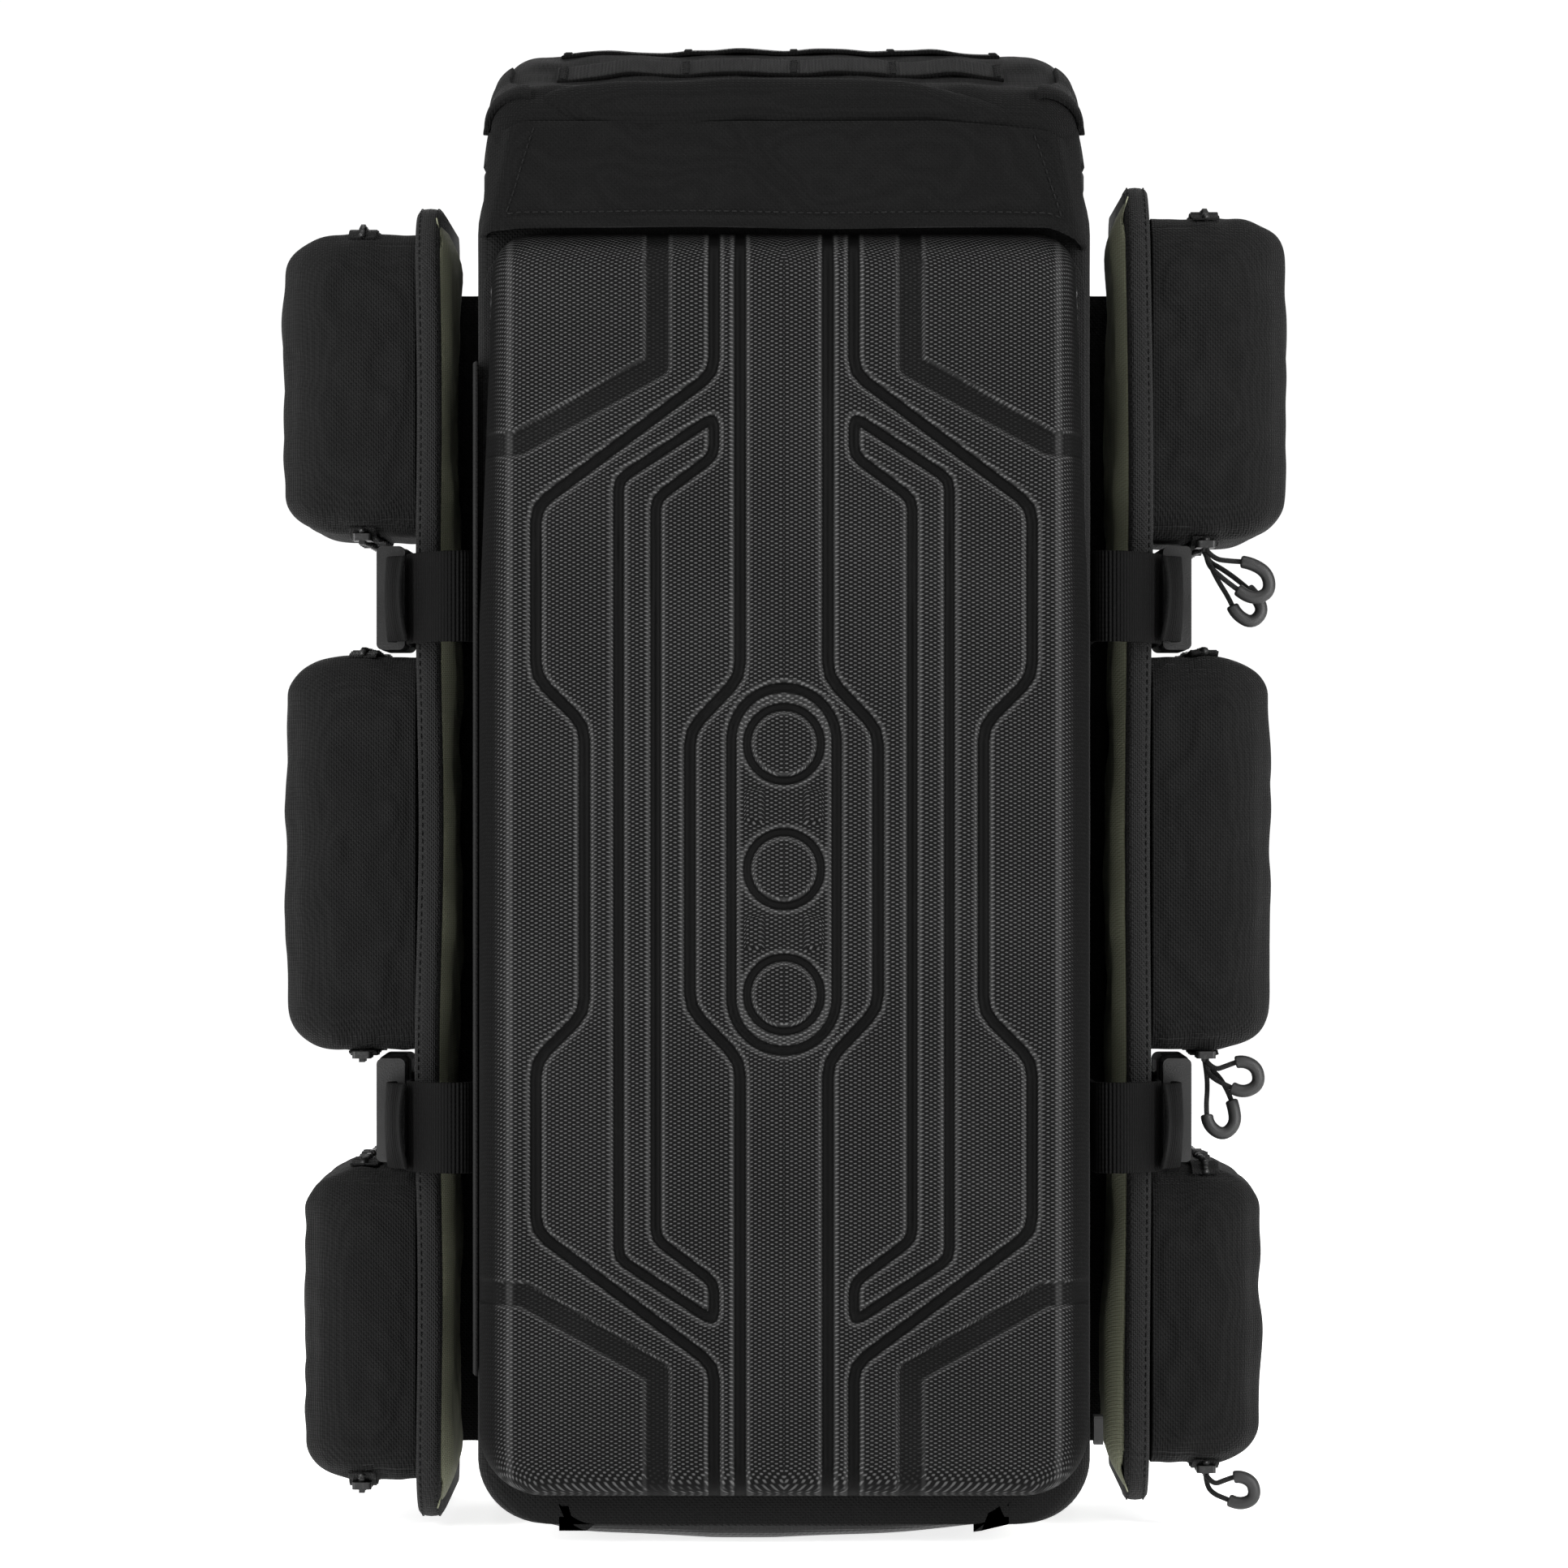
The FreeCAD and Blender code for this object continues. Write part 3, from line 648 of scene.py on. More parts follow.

# %% [markdown]
# ## Zip pulls
# Three sliders on the right carry loops of thin cord with a moulded U over the far end. A loop is soft but
# springy, so each is a smooth line through a few given points, out of the slider's bail and back.

# %% Cord loops
CORD_THICK = 2.2 * MM
GRIP_THICK = 5.4 * MM
PULLS = {
    "right_top_a": [(179.4, -43.2, 415.4), (182.5, -47, 411.5), (188.5, -50, 410.5), (197, -51.5, 410),
                    (205, -51.5, 405.5), (206, -51, 397), (198.5, -50.5, 394), (190, -50, 400),
                    (183.5, -46.5, 405.5), (179.8, -41, 410), (179.4, -40.2, 415.4)],
    "right_top_b": [(179.4, -33.4, 415.4), (181.5, -36.5, 409.5), (184.5, -41, 402.5), (189, -44, 395),
                    (192, -44.5, 388), (199, -44.5, 384), (204, -44, 390), (199, -43, 397.5),
                    (192, -41, 403.5), (186, -37, 408), (181, -31.5, 411), (179.4, -30.4, 415.4)],
    "right_middle_a": [(179.4, -43.2, 198.3), (182.5, -47, 194.5), (187.5, -49.5, 196.5), (194, -50.5, 199),
                       (200.5, -50.5, 196), (201.5, -50, 188.5), (195, -49.5, 185), (188, -48.5, 188),
                       (183, -44.5, 190.5), (179.8, -40.6, 193.5), (179.4, -40.2, 198.3)],
    "right_middle_b": [(179.4, -33.4, 198.3), (180.2, -36, 192.5), (180.2, -39.5, 186), (179.4, -43, 179),
                       (180, -44.5, 171), (186.5, -44.5, 166.5), (192, -44, 171.5), (191, -43, 179.5),
                       (188, -41, 187), (184.5, -36.5, 192.5), (180.4, -31.8, 195), (179.4, -30.4, 198.3)],
    "right_bottom_a": [(179.4, -43.2, 22.3), (182, -47, 18.5), (187, -49.5, 21), (193, -50.5, 23),
                       (199, -50.5, 20), (199.5, -50, 13), (193.5, -49.5, 10.5), (187, -48.5, 13),
                       (182.5, -44.5, 14.5), (179.8, -40.6, 17.5), (179.4, -40.2, 22.3)],
}
GRIP_SPAN = {"a": (0.24, 0.70), "b": (0.30, 0.68)}


def cord_curve(name, points, thick):
    """A smooth round cord on its route's own points."""
    clear()
    curve = bpy.data.curves.new(name, "CURVE")
    curve.dimensions = "3D"
    spline = curve.splines.new("NURBS")
    spline.points.add(len(points) - 1)
    for knot, point in zip(spline.points, points):
        knot.co = [c * MM for c in point] + [1.0]
    spline.order_u = 3
    spline.use_endpoint_u = True
    curve.resolution_u = 10
    curve.bevel_depth = thick / 2
    curve.bevel_resolution = 4
    curve.use_fill_caps = True
    piece = bpy.data.objects.new(name, curve)
    bpy.context.collection.objects.link(piece)
    return piece


def centre_line(piece):
    """The line of a cord without its thickness."""
    plain = piece.data.copy()
    plain.bevel_depth = 0
    probe = bpy.data.objects.new("probe", plain)
    bpy.context.collection.objects.link(probe)
    bpy.context.view_layer.update()
    mesh = bpy.data.meshes.new_from_object(probe)
    line = np.array([v.co[:] for v in mesh.vertices])
    bpy.data.objects.remove(probe)
    bpy.data.meshes.remove(mesh)
    return line


def round_section(radius, sides=12):
    return [(radius * math.cos(2 * math.pi * k / sides), radius * math.sin(2 * math.pi * k / sides))
            for k in range(sides)]


cord_grips = {}
for pull, route in PULLS.items():
    pouch = pull[:-2]
    cord_piece = cord_curve("cord_" + pull, route, CORD_THICK)
    cord_piece.data.materials.append(CORD)
    line = centre_line(cord_piece)
    start, end = [int(share * (len(line) - 1)) for share in GRIP_SPAN[pull[-1]]]
    stretch = even(line[start:end + 1], 30)
    grip = sweep("grip_" + pull, stretch, round_section(GRIP_THICK / 2), (0, 1, 0))
    apply(grip, "BEVEL", width=1.1 * MM, segments=3, limit_method="ANGLE", angle_limit=0.9)
    hand_in(grip, "sliders_" + pouch, GRIP, "grip_rubber")
    cord_grips.setdefault(pouch, []).append(grip)
    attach(cord_piece, "sliders_" + pouch)
    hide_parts("pull_cord_" + pull)
    print(pull, "cord", round(line_length(line) / MM, 1), "mm")
for pouch, grips in cord_grips.items():
    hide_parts("pull_grips_" + pouch)

# %% [markdown]
# ## The front shell
# Foam between two fabrics is pressed hot in a mould, so the panel is one skin with pillows between narrow
# channels. A height field suits it: each corner of a fine grid sinks by a rule of its distance to the
# channel lines. The grid is finer at the rim, where the skin turns back, so that the turn stays round.

# %% Shell: lines of the relief
SHELL_MIDDLE = 281.0
RIM = 15.0
OUTER_LANE = [(28.7, 262), (28.7, 204), (102, 149), (102, 79), (82, 59), (82, -59), (102, -79), (102, -149),
              (28.7, -204), (28.7, -262)]
CENTRE_LANE = [(18, 262), (18, 79), (38.7, 57), (38.7, -57), (18, -79), (18, -262)]
BRACKET = [(28.7, 186), (68, 160), (68, -160), (28.7, -186), (28.7, -170), (52.7, -152), (52.7, 152),
           (28.7, 170), (28.7, 186)]
WIDE_LANES = [[(52, 262), (52, 207), (109, 175), (127, 174)], [(52, -262), (52, -207), (107, -175), (127, -174)]]
BOSSES = (-51.5, 0.0, 51.5)
BOSS_RING = 15.2
BAND_HALF = 4.8
STADIUM_REACH, STADIUM_RADIUS, STADIUM_HALF = 53.0, 21.6, 2.0


def distance_to(line, x, z):
    """How far points are from a line of straight runs."""
    nearest = np.full(x.shape, 1e9)
    for (ax, az), (bx, bz) in zip(line, line[1:]):
        run = (bx - ax) ** 2 + (bz - az) ** 2
        t = np.clip(((x - ax) * (bx - ax) + (z - az) * (bz - az)) / run, 0, 1)
        nearest = np.minimum(nearest, np.hypot(x - ax - t * (bx - ax), z - az - t * (bz - az)))
    return nearest


def rounded_line(line, radius=6.0, closed=False):
    """Cut each corner of a line with a short curve."""
    if closed:
        line = line[:-1]
    made = []
    for i, corner in enumerate(line):
        corner = np.array(corner, dtype=float)
        if not closed and i in (0, len(line) - 1):
            made.append(tuple(corner))
            continue
        before = np.array(line[i - 1], dtype=float)
        after = np.array(line[(i + 1) % len(line)], dtype=float)
        reach = min(radius, 0.45 * np.linalg.norm(before - corner), 0.45 * np.linalg.norm(after - corner))
        first = corner + (before - corner) / np.linalg.norm(before - corner) * reach
        last = corner + (after - corner) / np.linalg.norm(after - corner) * reach
        for t in (0.0, 0.5, 1.0):
            made.append(tuple((1 - t) ** 2 * first + 2 * t * (1 - t) * corner + t * t * last))
    if closed:
        made.append(made[0])
    return made


LANES = [(rounded_line(OUTER_LANE), 2.3, 2.7), (rounded_line(CENTRE_LANE), 2.3, 2.7),
         (rounded_line(BRACKET, 4.0, True), 2.1, 2.5)]


def stadium_gap(side, z):
    """How far outside the long round-ended slot in the middle a point is. Inside it is negative."""
    return np.hypot(side, np.maximum(np.abs(z) - STADIUM_REACH, 0)) - STADIUM_RADIUS


def channel(gap, half, depth):
    """A channel with a flat floor and rounded shoulders that reach out to the pillows."""
    floor = 1 - step(half * 0.55, half * 1.05, gap)
    shoulder = np.exp(-np.maximum(gap - half, 0) / 2.2) * 0.34
    return depth * np.maximum(floor, shoulder)


def shell_relief(x, z):
    """How deep the moulded skin lies at a point of the front, in millimetres."""
    side = np.abs(x)
    z = z - SHELL_MIDDLE
    deep = np.maximum.reduce([channel(distance_to(line, side, z), half, depth) for line, half, depth in LANES])
    for lane in WIDE_LANES:
        deep = np.maximum(deep, 1.6 * (1 - step(4.2, 5.4, distance_to(lane, side, z))))
    stadium = stadium_gap(side, z)
    deep = np.maximum(deep, channel(np.abs(stadium), STADIUM_HALF, 2.5))
    inside = 1 - step(-3.4, -1.0, stadium)
    floor = 1.5 * inside
    for boss in BOSSES:
        ring = np.hypot(side, z - boss)
        floor = np.maximum(floor, 2.5 * (1 - step(1.0, 2.3, np.abs(ring - BOSS_RING))))
        floor = np.where(ring < 14.2, 0.25 + 2.1 * step(12.3, 14.2, ring), floor)
    for level in (-26.0, 26.0):
        slant = 6.9 - (side - 11.5) * 0.12
        block = np.maximum(np.abs(side - 12.3) - 3.9, np.abs(z - level) - slant)
        floor = floor - 1.3 * (1 - step(-1.2, 0.4, block)) * inside
    return np.maximum(deep, floor)


# %% Shell: outline and grid
def channel_gaps(x, z):
    """How far a point is from the nearest channel and from the nearest wide band, in millimetres."""
    side = np.abs(x)
    z = z - SHELL_MIDDLE
    gaps = [distance_to(line, side, z) - half for line, half, _ in LANES]
    gaps.append(np.abs(stadium_gap(side, z)) - STADIUM_HALF)
    for boss in BOSSES:
        gaps.append(np.abs(np.hypot(side, z - boss) - BOSS_RING) - 1.6)
    gap = np.minimum.reduce(gaps)
    band = np.minimum(*[distance_to(lane, side, z) for lane in WIDE_LANES]) - BAND_HALF
    return gap, band


SHELL_TAPER_FROM, SHELL_TAPER = 380.0, 6.0
SHELL_FOOT_CORNER, SHELL_HEAD_CORNER = 27.0, 16.0


def shell_outline(x, z):
    """Distance in from the shell's outline, and its half width at a level."""
    low, high = SHELL_LOW[2] / MM, SHELL_HIGH[2] / MM
    half = SHELL_HIGH[0] / MM - SHELL_TAPER * np.clip((z - SHELL_TAPER_FROM) / (high - SHELL_TAPER_FROM), 0, 1)
    radius = np.where(z < SHELL_MIDDLE, SHELL_FOOT_CORNER, SHELL_HEAD_CORNER)
    end = np.minimum(z - low, high - z)
    wide = half - radius + np.sqrt(np.maximum(radius ** 2 - np.maximum(radius - end, 0) ** 2, 0))
    qx = np.abs(x) - (half - radius)
    qz = radius - end
    outside = np.hypot(np.maximum(qx, 0), np.maximum(qz, 0)) + np.minimum(np.maximum(qx, qz), 0)
    return radius - outside, wide


def rim_spread(half, pitch, steps=12):
    """Places from -half to half that crowd together at both ends, as equal turns of a round rim."""
    turn = np.linspace(0, math.pi / 2, steps + 1)[:-1]
    edge = half - RIM * (1 - np.cos(turn))
    middle = np.linspace(-(half - RIM), half - RIM, int(2 * (half - RIM) / pitch) + 1)
    return np.concatenate([-edge, middle, edge[::-1]])


SHELL_PITCH = 1.22
SHELL_ACROSS = rim_spread(SHELL_HIGH[0] / MM, SHELL_PITCH)
SHELL_UP = rim_spread((SHELL_HIGH[2] - SHELL_LOW[2]) / MM / 2, SHELL_PITCH)


def shell_crown(x):
    """The whole shell is a little rounded: its sides lie further back than its middle."""
    return 1.6 * (x / 126.0) ** 2


def shell_place(u, v):
    x = SHELL_ACROSS[nearest_row(u, len(SHELL_ACROSS))]
    z = SHELL_UP[nearest_row(v, len(SHELL_UP))]
    z = z + (SHELL_HIGH[2] + SHELL_LOW[2]) / MM / 2
    _, wide = shell_outline(x, z)
    x = x * wide / (SHELL_HIGH[0] / MM)
    inset, _ = shell_outline(x, z)
    turn = np.clip(RIM - inset, 0, RIM)
    y = RIM - np.sqrt(np.maximum(RIM ** 2 - turn ** 2, 0))
    flat = 1 - step(0.15 * RIM, 0.9 * RIM, turn)
    relief = shell_relief(x, z)
    y = y + relief * np.maximum(flat, 0.35) + shell_crown(x)
    return x * MM, SHELL_LOW[1] + y * MM, z * MM


shell = sheet("front_shell_skin", len(SHELL_ACROSS) - 1, len(SHELL_UP) - 1, shell_place)
face_towards(shell, (0, -1, 0))
spots = corners(shell) / MM
for name, gap in zip(("channel_gap", "band_gap"), channel_gaps(spots[:, 0], spots[:, 2])):
    shell.data.attributes.new(name, "FLOAT", "POINT").data.foreach_set("value", np.clip(gap, -6, 12))
print("shell grid", len(SHELL_ACROSS), "by", len(SHELL_UP))

# %% [markdown]
# The skin's edge is pulled back to make the side wall, then turned inwards over the binding. A second,
# coarse sheet lines the inside, because the shell opens like a door and its back shows.

# %% Shell: side wall, lining, hinge tape
pick(shell)
bpy.ops.object.mode_set(mode="EDIT")
bpy.ops.mesh.select_all(action="DESELECT")
bpy.ops.mesh.select_non_manifold()
for back in (0.005, 0.0045):
    bpy.ops.mesh.extrude_edges_move(TRANSFORM_OT_translate={"value": (0, back, 0)})
bpy.ops.object.mode_set(mode="OBJECT")
rim_y = SHELL_HIGH[1] - 0.0005
places = corners(shell)
last = places[:, 1] > SHELL_LOW[1] + (RIM + 8.5) * MM
places[last, 1] = rim_y
middle = np.array([0, rim_y, (SHELL_LOW[2] + SHELL_HIGH[2]) / 2])
move_corners(shell, places)
pick(shell)
bpy.ops.object.mode_set(mode="EDIT")
bpy.ops.mesh.extrude_edges_move(TRANSFORM_OT_translate={"value": (0, 0, 0)})
bpy.ops.transform.resize(value=(0.968, 1, 0.985), center_override=tuple(middle))
bpy.ops.object.mode_set(mode="OBJECT")
hand_in(shell, "shell", EVA, "moulded_eva", "front_shell")


LINER_IN = 3.2


def liner_place(u, v):
    half = SHELL_HIGH[0] / MM - LINER_IN
    x = (u * 2 - 1) * half
    z = SHELL_LOW[2] / MM + LINER_IN + v * ((SHELL_HIGH[2] - SHELL_LOW[2]) / MM - 2 * LINER_IN)
    _, wide = shell_outline(x, z)
    x = x * (wide - LINER_IN) / half
    inset, _ = shell_outline(x, z)
    turn = np.clip(RIM - (inset - LINER_IN), 0, RIM)
    y = 2 * LINER_IN + RIM - np.sqrt(np.maximum(RIM ** 2 - turn ** 2, 0)) + shell_crown(x)
    y = np.where(inset < 4.2, 26.8, y) + 0.7 * ripple(x, z, 60, 5) * step(0, 30, inset)
    return x * MM, SHELL_LOW[1] + y * MM, z * MM


liner = sheet("front_shell_lining", 70, 130, liner_place)
face_towards(liner, (0, 1, 0))
hand_in(liner, "shell", OLIVE, "lining_fabric")


def rectangle_line(x0, x1, z0, z1, radius, y, count):
    """A closed line round a rounded rectangle that stands in an XZ plane."""
    points = []
    for cx, cz, start in ((x1 - radius, z1 - radius, 0), (x0 + radius, z1 - radius, 90),
                          (x0 + radius, z0 + radius, 180), (x1 - radius, z0 + radius, 270)):
        for k in range(7):
            angle = math.radians(start + 15 * k)
            points.append((cx + radius * math.cos(angle), y, cz + radius * math.sin(angle)))
    points.append(points[0])
    return even(points, count + 1)[:-1]


ZIP_LOW, ZIP_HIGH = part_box("front_zip")
ring_line = rectangle_line(ZIP_LOW[0] + 0.004, ZIP_HIGH[0] - 0.004, ZIP_LOW[2] + 0.004, ZIP_HIGH[2] - 0.004, 0.018,
                           (ZIP_LOW[1] + ZIP_HIGH[1]) / 2, 360)
ring_tape = sweep("front_zip_tape", ring_line, rounded_bar(1.2 * MM, 8 * MM, 0.4 * MM), (0, 1, 0), closed=True)
hand_in(ring_tape, "root", TAPE, "zip_tape", "front_zip")


def coil(name, line, across, radius, pitch, closed=False):
    """The teeth of a coil zip: a bar whose thickness swells at each turn of the coil."""
    count = int(line_length(line) / pitch) * 4
    fine = even(np.vstack([line, line[:1]]) if closed else line, count + 1)
    if closed:
        fine = fine[:-1]
    piece = sweep(name, fine, round_section(radius, 6), across, closed=closed)
    places = corners(piece)
    nearest = np.array([np.linalg.norm(fine - place, axis=1).argmin() for place in places])
    swell = 1 + 0.3 * np.cos(nearest * math.pi / 2)
    move_corners(piece, fine[nearest] + (places - fine[nearest]) * swell[:, None])
    return piece


ring_coil = coil("front_zip_coil", ring_line - np.array([0, 0.0006, 0]), (0, 1, 0), 1.0 * MM, 5.2 * MM, closed=True)
hand_in(ring_coil, "root", COIL, "zip_tape")

# %% [markdown]
# ## The lid
# The lid is a soft hat: a padded top that falls away at the sides, a straight skirt in front, and a rolled
# tongue over the seam between them. The top is one sheet whose height comes from a side profile, minus a drop
# near the ends, so that webbing and flaps can ask the same rule where the surface is.

# %% Lid: the rule of its surface
LID_PROFILE = smooth_line([(-126.6, 584), (-125, 594), (-118, 602), (-108, 606.5), (-98, 608), (-88, 611),
                           (-60, 620), (-38, 626), (-5, 631), (20, 634), (50, 636), (74, 631.5), (87, 617),
                           (91.5, 597), (92, 579)], 150)
LID_FLAT = 103.0
LID_SIDE = 121.4
LID_SIDE_FOOT = 578.5
LID_DROP = 17.0
LID_SEAM_Y = -120.5
FALL_AT, FALL_LONG, SIDE_AT, SIDE_LONG, LAST = 0.72, 0.36, 1.08, 0.34, 1.42


def lid_height(y):
    """Height of the lid's middle line at a depth."""
    return np.interp(y, LID_PROFILE[:125, 0], LID_PROFILE[:125, 1])


def lid_folds(x, y):
    return 0.9 * ripple(x, y, 55, 11) + 0.35 * ripple(x, y, 22, 12)


def lid_turn(s):
    """How far the lid's surface has turned from level to upright, in radians."""
    return np.clip(np.abs(s) - FALL_AT, 0, FALL_LONG) / FALL_LONG * (math.pi / 2)


def lid_section(s, y, z):
    """Across the lid: s is 0 in the middle, FALL_AT where the fall begins, SIDE_AT where the side begins, LAST at
    the side's foot."""
    out = lid_turn(s)
    down = np.clip((np.abs(s) - SIDE_AT) / SIDE_LONG, 0, 1)
    flat = np.minimum(np.abs(s) / FALL_AT, 1)
    side = LID_SIDE - LID_FLAT - 12.5 * np.clip((-107 - y) / 19, 0, 1) ** 2
    x = np.sign(s) * (flat * LID_FLAT + side * np.sin(out))
    fall = 2.0 * flat ** 2 + LID_DROP * (1 - np.cos(out)) * step(LID_SIDE_FOOT + 2, 604, z)
    top = np.maximum(z - fall, LID_SIDE_FOOT)
    flare = np.sign(x) * (np.sin(down * math.pi) + 6.6 * down * step(-85, -35, y))
    x = x + flare + 0.8 * ripple(y, z, 40, 13) * np.sin(out) * (1 - down)
    return x, top + (LID_SIDE_FOOT - top) * down + lid_folds(x, y) * (1 - down)


def lid_place(u, v):
    y, z = at_share(LID_PROFILE, v)
    x, z = lid_section((u * 2 - 1) * LAST, y, z)
    return x * MM, y * MM, z * MM


lid = sheet("lid_top", 150, 130, lid_place)
face_towards(lid, (0, 0, 1))
apply(lid, "SOLIDIFY", thickness=3.2 * MM, offset=-1)
hand_in(lid, "lid", LID_SHADED_FABRIC, "pack_fabric", "lid_cover", "lid_lining")

# %% [markdown]
# The skirt is a strip that starts at one side, turns both front corners and ends at the other side. Its lower
# edge carries a hem, drawn as a slightly thicker stretch, and hangs a little lower at the right corner.

# %% Lid: the front skirt
SKIRT_FOOT = box_mm("lid_cover")[0][2]
SKIRT_PATH = smooth_line([(-122.6, -96), (-122.4, -108), (-120.8, -120), (-115, -126.5), (-100, -127.6),
                          (-50, -128.3), (0, -128.5), (50, -128.3), (100, -127.6), (115, -126.5),
                          (120.8, -120), (122.4, -108), (122.6, -96)], 260)


def skirt_place(u, v):
    x, y = at_share(SKIRT_PATH, u)
    corner = step(104, 124, np.abs(x))
    foot = SKIRT_FOOT - 0.5 + 0.7 * ripple(x, y, 90, 21) - corner * np.where(x > 0, 6.5, 1.5)
    top = 588.5 - 3.0 * corner - 4.0 * step(60, 120, x)
    z = foot + (top - foot) * v
    lean = np.clip(1 - v, 0, 1)
    x = x * (1 + 0.026 * lean - 0.05 * v * corner * step(-108, -124, y))
    hem = 0.8 * step(0.13, 0.10, v) * step(-0.01, 0.02, v)
    bulge = 1.5 * np.sin(np.clip(v, 0, 1) * math.pi) * (1 - corner)
    folds = 1.3 * ripple(x, z * 1.3, 75, 22) + 0.5 * ripple(x, z * 1.4, 24, 23)
    dent = 2.2 * np.exp(-((x + z - 562) / 9) ** 2 - ((z - 566) / 16) ** 2)
    y = y - hem - bulge + (folds * step(0.0, 0.3, v) + dent) * (1 - corner)
    return x * MM, y * MM, z * MM


skirt = sheet("lid_skirt", 250, 56, skirt_place)
face_towards(skirt, (0, -1, 0))
apply(skirt, "SOLIDIFY", thickness=2.4 * MM, offset=-1)
hand_in(skirt, "lid", LID_SHADED_FABRIC, "pack_fabric")


STITCH_GAP, STITCH_LONG, STITCH_THICK = 3.4, 2.2, 0.5


def stitches(name, line, away, body):
    """A row of short threads just above a surface: one small rod, repeated, each laid on its spot."""
    line = np.asarray(line)
    count = max(int(line_length(line) / MM / STITCH_GAP), 2)
    spots = even(line, count * 2 + 1)
    ahead = unit(np.gradient(spots, axis=0))
    away = np.asarray(away, dtype=float)
    if away.ndim == 2:
        run = distances(line)
        away = np.column_stack([np.interp(np.linspace(0, run[-1], len(spots)), run, part) for part in away.T])
    away = unit(np.broadcast_to(away, spots.shape))
    side = np.cross(ahead, away)
    clear()
    bpy.ops.mesh.primitive_cube_add(size=1)
    piece = named(name)
    edit(piece, lambda: bpy.ops.mesh.bevel(offset=0.2, segments=1))
    one = corners(piece)
    apply(piece, "ARRAY", count=count, use_relative_offset=True, relative_offset_displace=(2, 0, 0))
    row = np.repeat(np.arange(count) * 2 + 1, len(one))
    rod = np.tile(one, (count, 1)) * np.array([STITCH_LONG, STITCH_THICK, STITCH_THICK]) * MM
    move_corners(piece, spots[row] + ahead[row] * rod[:, 0:1] + side[row] * rod[:, 1:2] + away[row] * rod[:, 2:3])
    edit(piece, bpy.ops.mesh.normals_make_consistent)
    hand_in(piece, body, THREAD, "pack_fabric")


def on_skirt(x, v):
    """Points of the skirt's outer face."""
    path = SKIRT_PATH[20:-20]
    u = (np.interp(x, path[:, 0], np.arange(20, len(SKIRT_PATH) - 20))) / (len(SKIRT_PATH) - 1)
    px, py, pz = skirt_place(np.asarray(u, dtype=float), np.asarray(v, dtype=float))
    return np.stack([px, py - 0.0004, pz], axis=1)


span = np.linspace(-112, 112, 160)
stitches("skirt_hem_thread", on_skirt(span, np.full(160, 0.15)), (0, -1, 0), "lid")
rise = np.linspace(0.16, 0.95, 40)
for word, side in SIDES:
    stitches("skirt_corner_thread_" + word, on_skirt(side * (114 - 12 * rise), rise), (0, -1, 0), "lid")

# %% [markdown]
# The tongue is a long pillow. It is swept from an oval whose size shrinks at both ends, and it hides the
# seam where skirt and top meet. The webbing rows lie on the slope behind it, sewn down at five tacks and
# slack between them, so that clips can be hung from the loops.

# %% Lid: tongue, webbing rows, corner flaps
def tongue_place(u, v):
    x = -104 + 208 * u
    angle = 2 * math.pi * v
    swell = np.sqrt(np.clip(1 - (2 * u - 1) ** 8, 0, 1))
    sag = -2.5 * (2 * u - 1) ** 2 - 6.5 * step(0.72, 1.0, u)
    tall = (10.5 - 3.0 * step(0.6, 1.0, u)) * swell
    y = LID_SEAM_Y + 8.8 * np.cos(angle) * (0.25 + 0.75 * swell)
    z = 596.5 + sag + tall * np.sin(angle)
    y = y + 0.6 * ripple(x, angle * 8, 38, 31) + 9 * (1 - swell)
    return x * MM, y * MM, (z + 0.5 * ripple(x, angle * 6, 50, 32)) * MM


tongue = sheet("lid_tongue", 150, 28, tongue_place)
weld(tongue, 0.0003)
hand_in(tongue, "lid", LID_SHADED_FABRIC, "pack_fabric")

ROW_ENDS = (-95.0, 92.0)
TACKS = (-93.0, -41.0, 4.0, 46.0, 90.0)


def row_line(depth, slope, loose):
    """Centre line of a webbing row: down on the lid at each tack, bowed up between tacks."""
    x = np.linspace(*ROW_ENDS, 150)
    bow = np.zeros_like(x)
    for a, b in zip(TACKS, TACKS[1:]):
        inside = (x > a) & (x < b)
        bow[inside] = np.sin((x[inside] - a) / (b - a) * math.pi)
    lift = 0.9 + loose * bow ** 0.8
    y = depth - slope * lift + 1.5 * (x / 90) ** 2
    z = lid_height(y) - 2.0 * (x / LID_FLAT) ** 2 + lid_folds(x, y) + lift
    return np.stack([x, y, z], axis=1) * MM


TACK_WIDE = 22.0


def tack(name, centre, across):
    """A bar tack: a dense zigzag of thread across a strap."""
    across = np.array(across) / np.linalg.norm(across)
    steps = np.linspace(-TACK_WIDE / 2, TACK_WIDE / 2, 15) * MM
    zigzag = [centre + across * s + np.array([(-1) ** k * 1.3 * MM, 0, 0]) for k, s in enumerate(steps)]
    up = np.cross((1, 0, 0), across)
    up = up * np.sign(up[2] - up[1] + 1e-9)
    line = np.array(zigzag) + up * 1.15 * MM
    return sweep(name, line, round_section(0.4 * MM, 5), up)


row_threads = []
for row, (depth, lean) in enumerate(((-75.0, 0.36), (-21.5, 0.14))):
    line = row_line(depth, lean, (0.9, 0.1)[row])
    across = (0, 1, lean)
    band = webbing_band("lid_webbing_%s" % ("front", "rear")[row], line, across, 25 * MM, 1.7 * MM)
    hand_webbing(band, "lid", *(["lid_webbing"] if row == 0 else []))
    for spot in TACKS:
        centre = line[np.abs(line[:, 0] - spot * MM).argmin()]
        row_threads.append(tack("tack", centre, across))
hand_in(join("lid_tacks", row_threads), "lid", THREAD, "webbing")


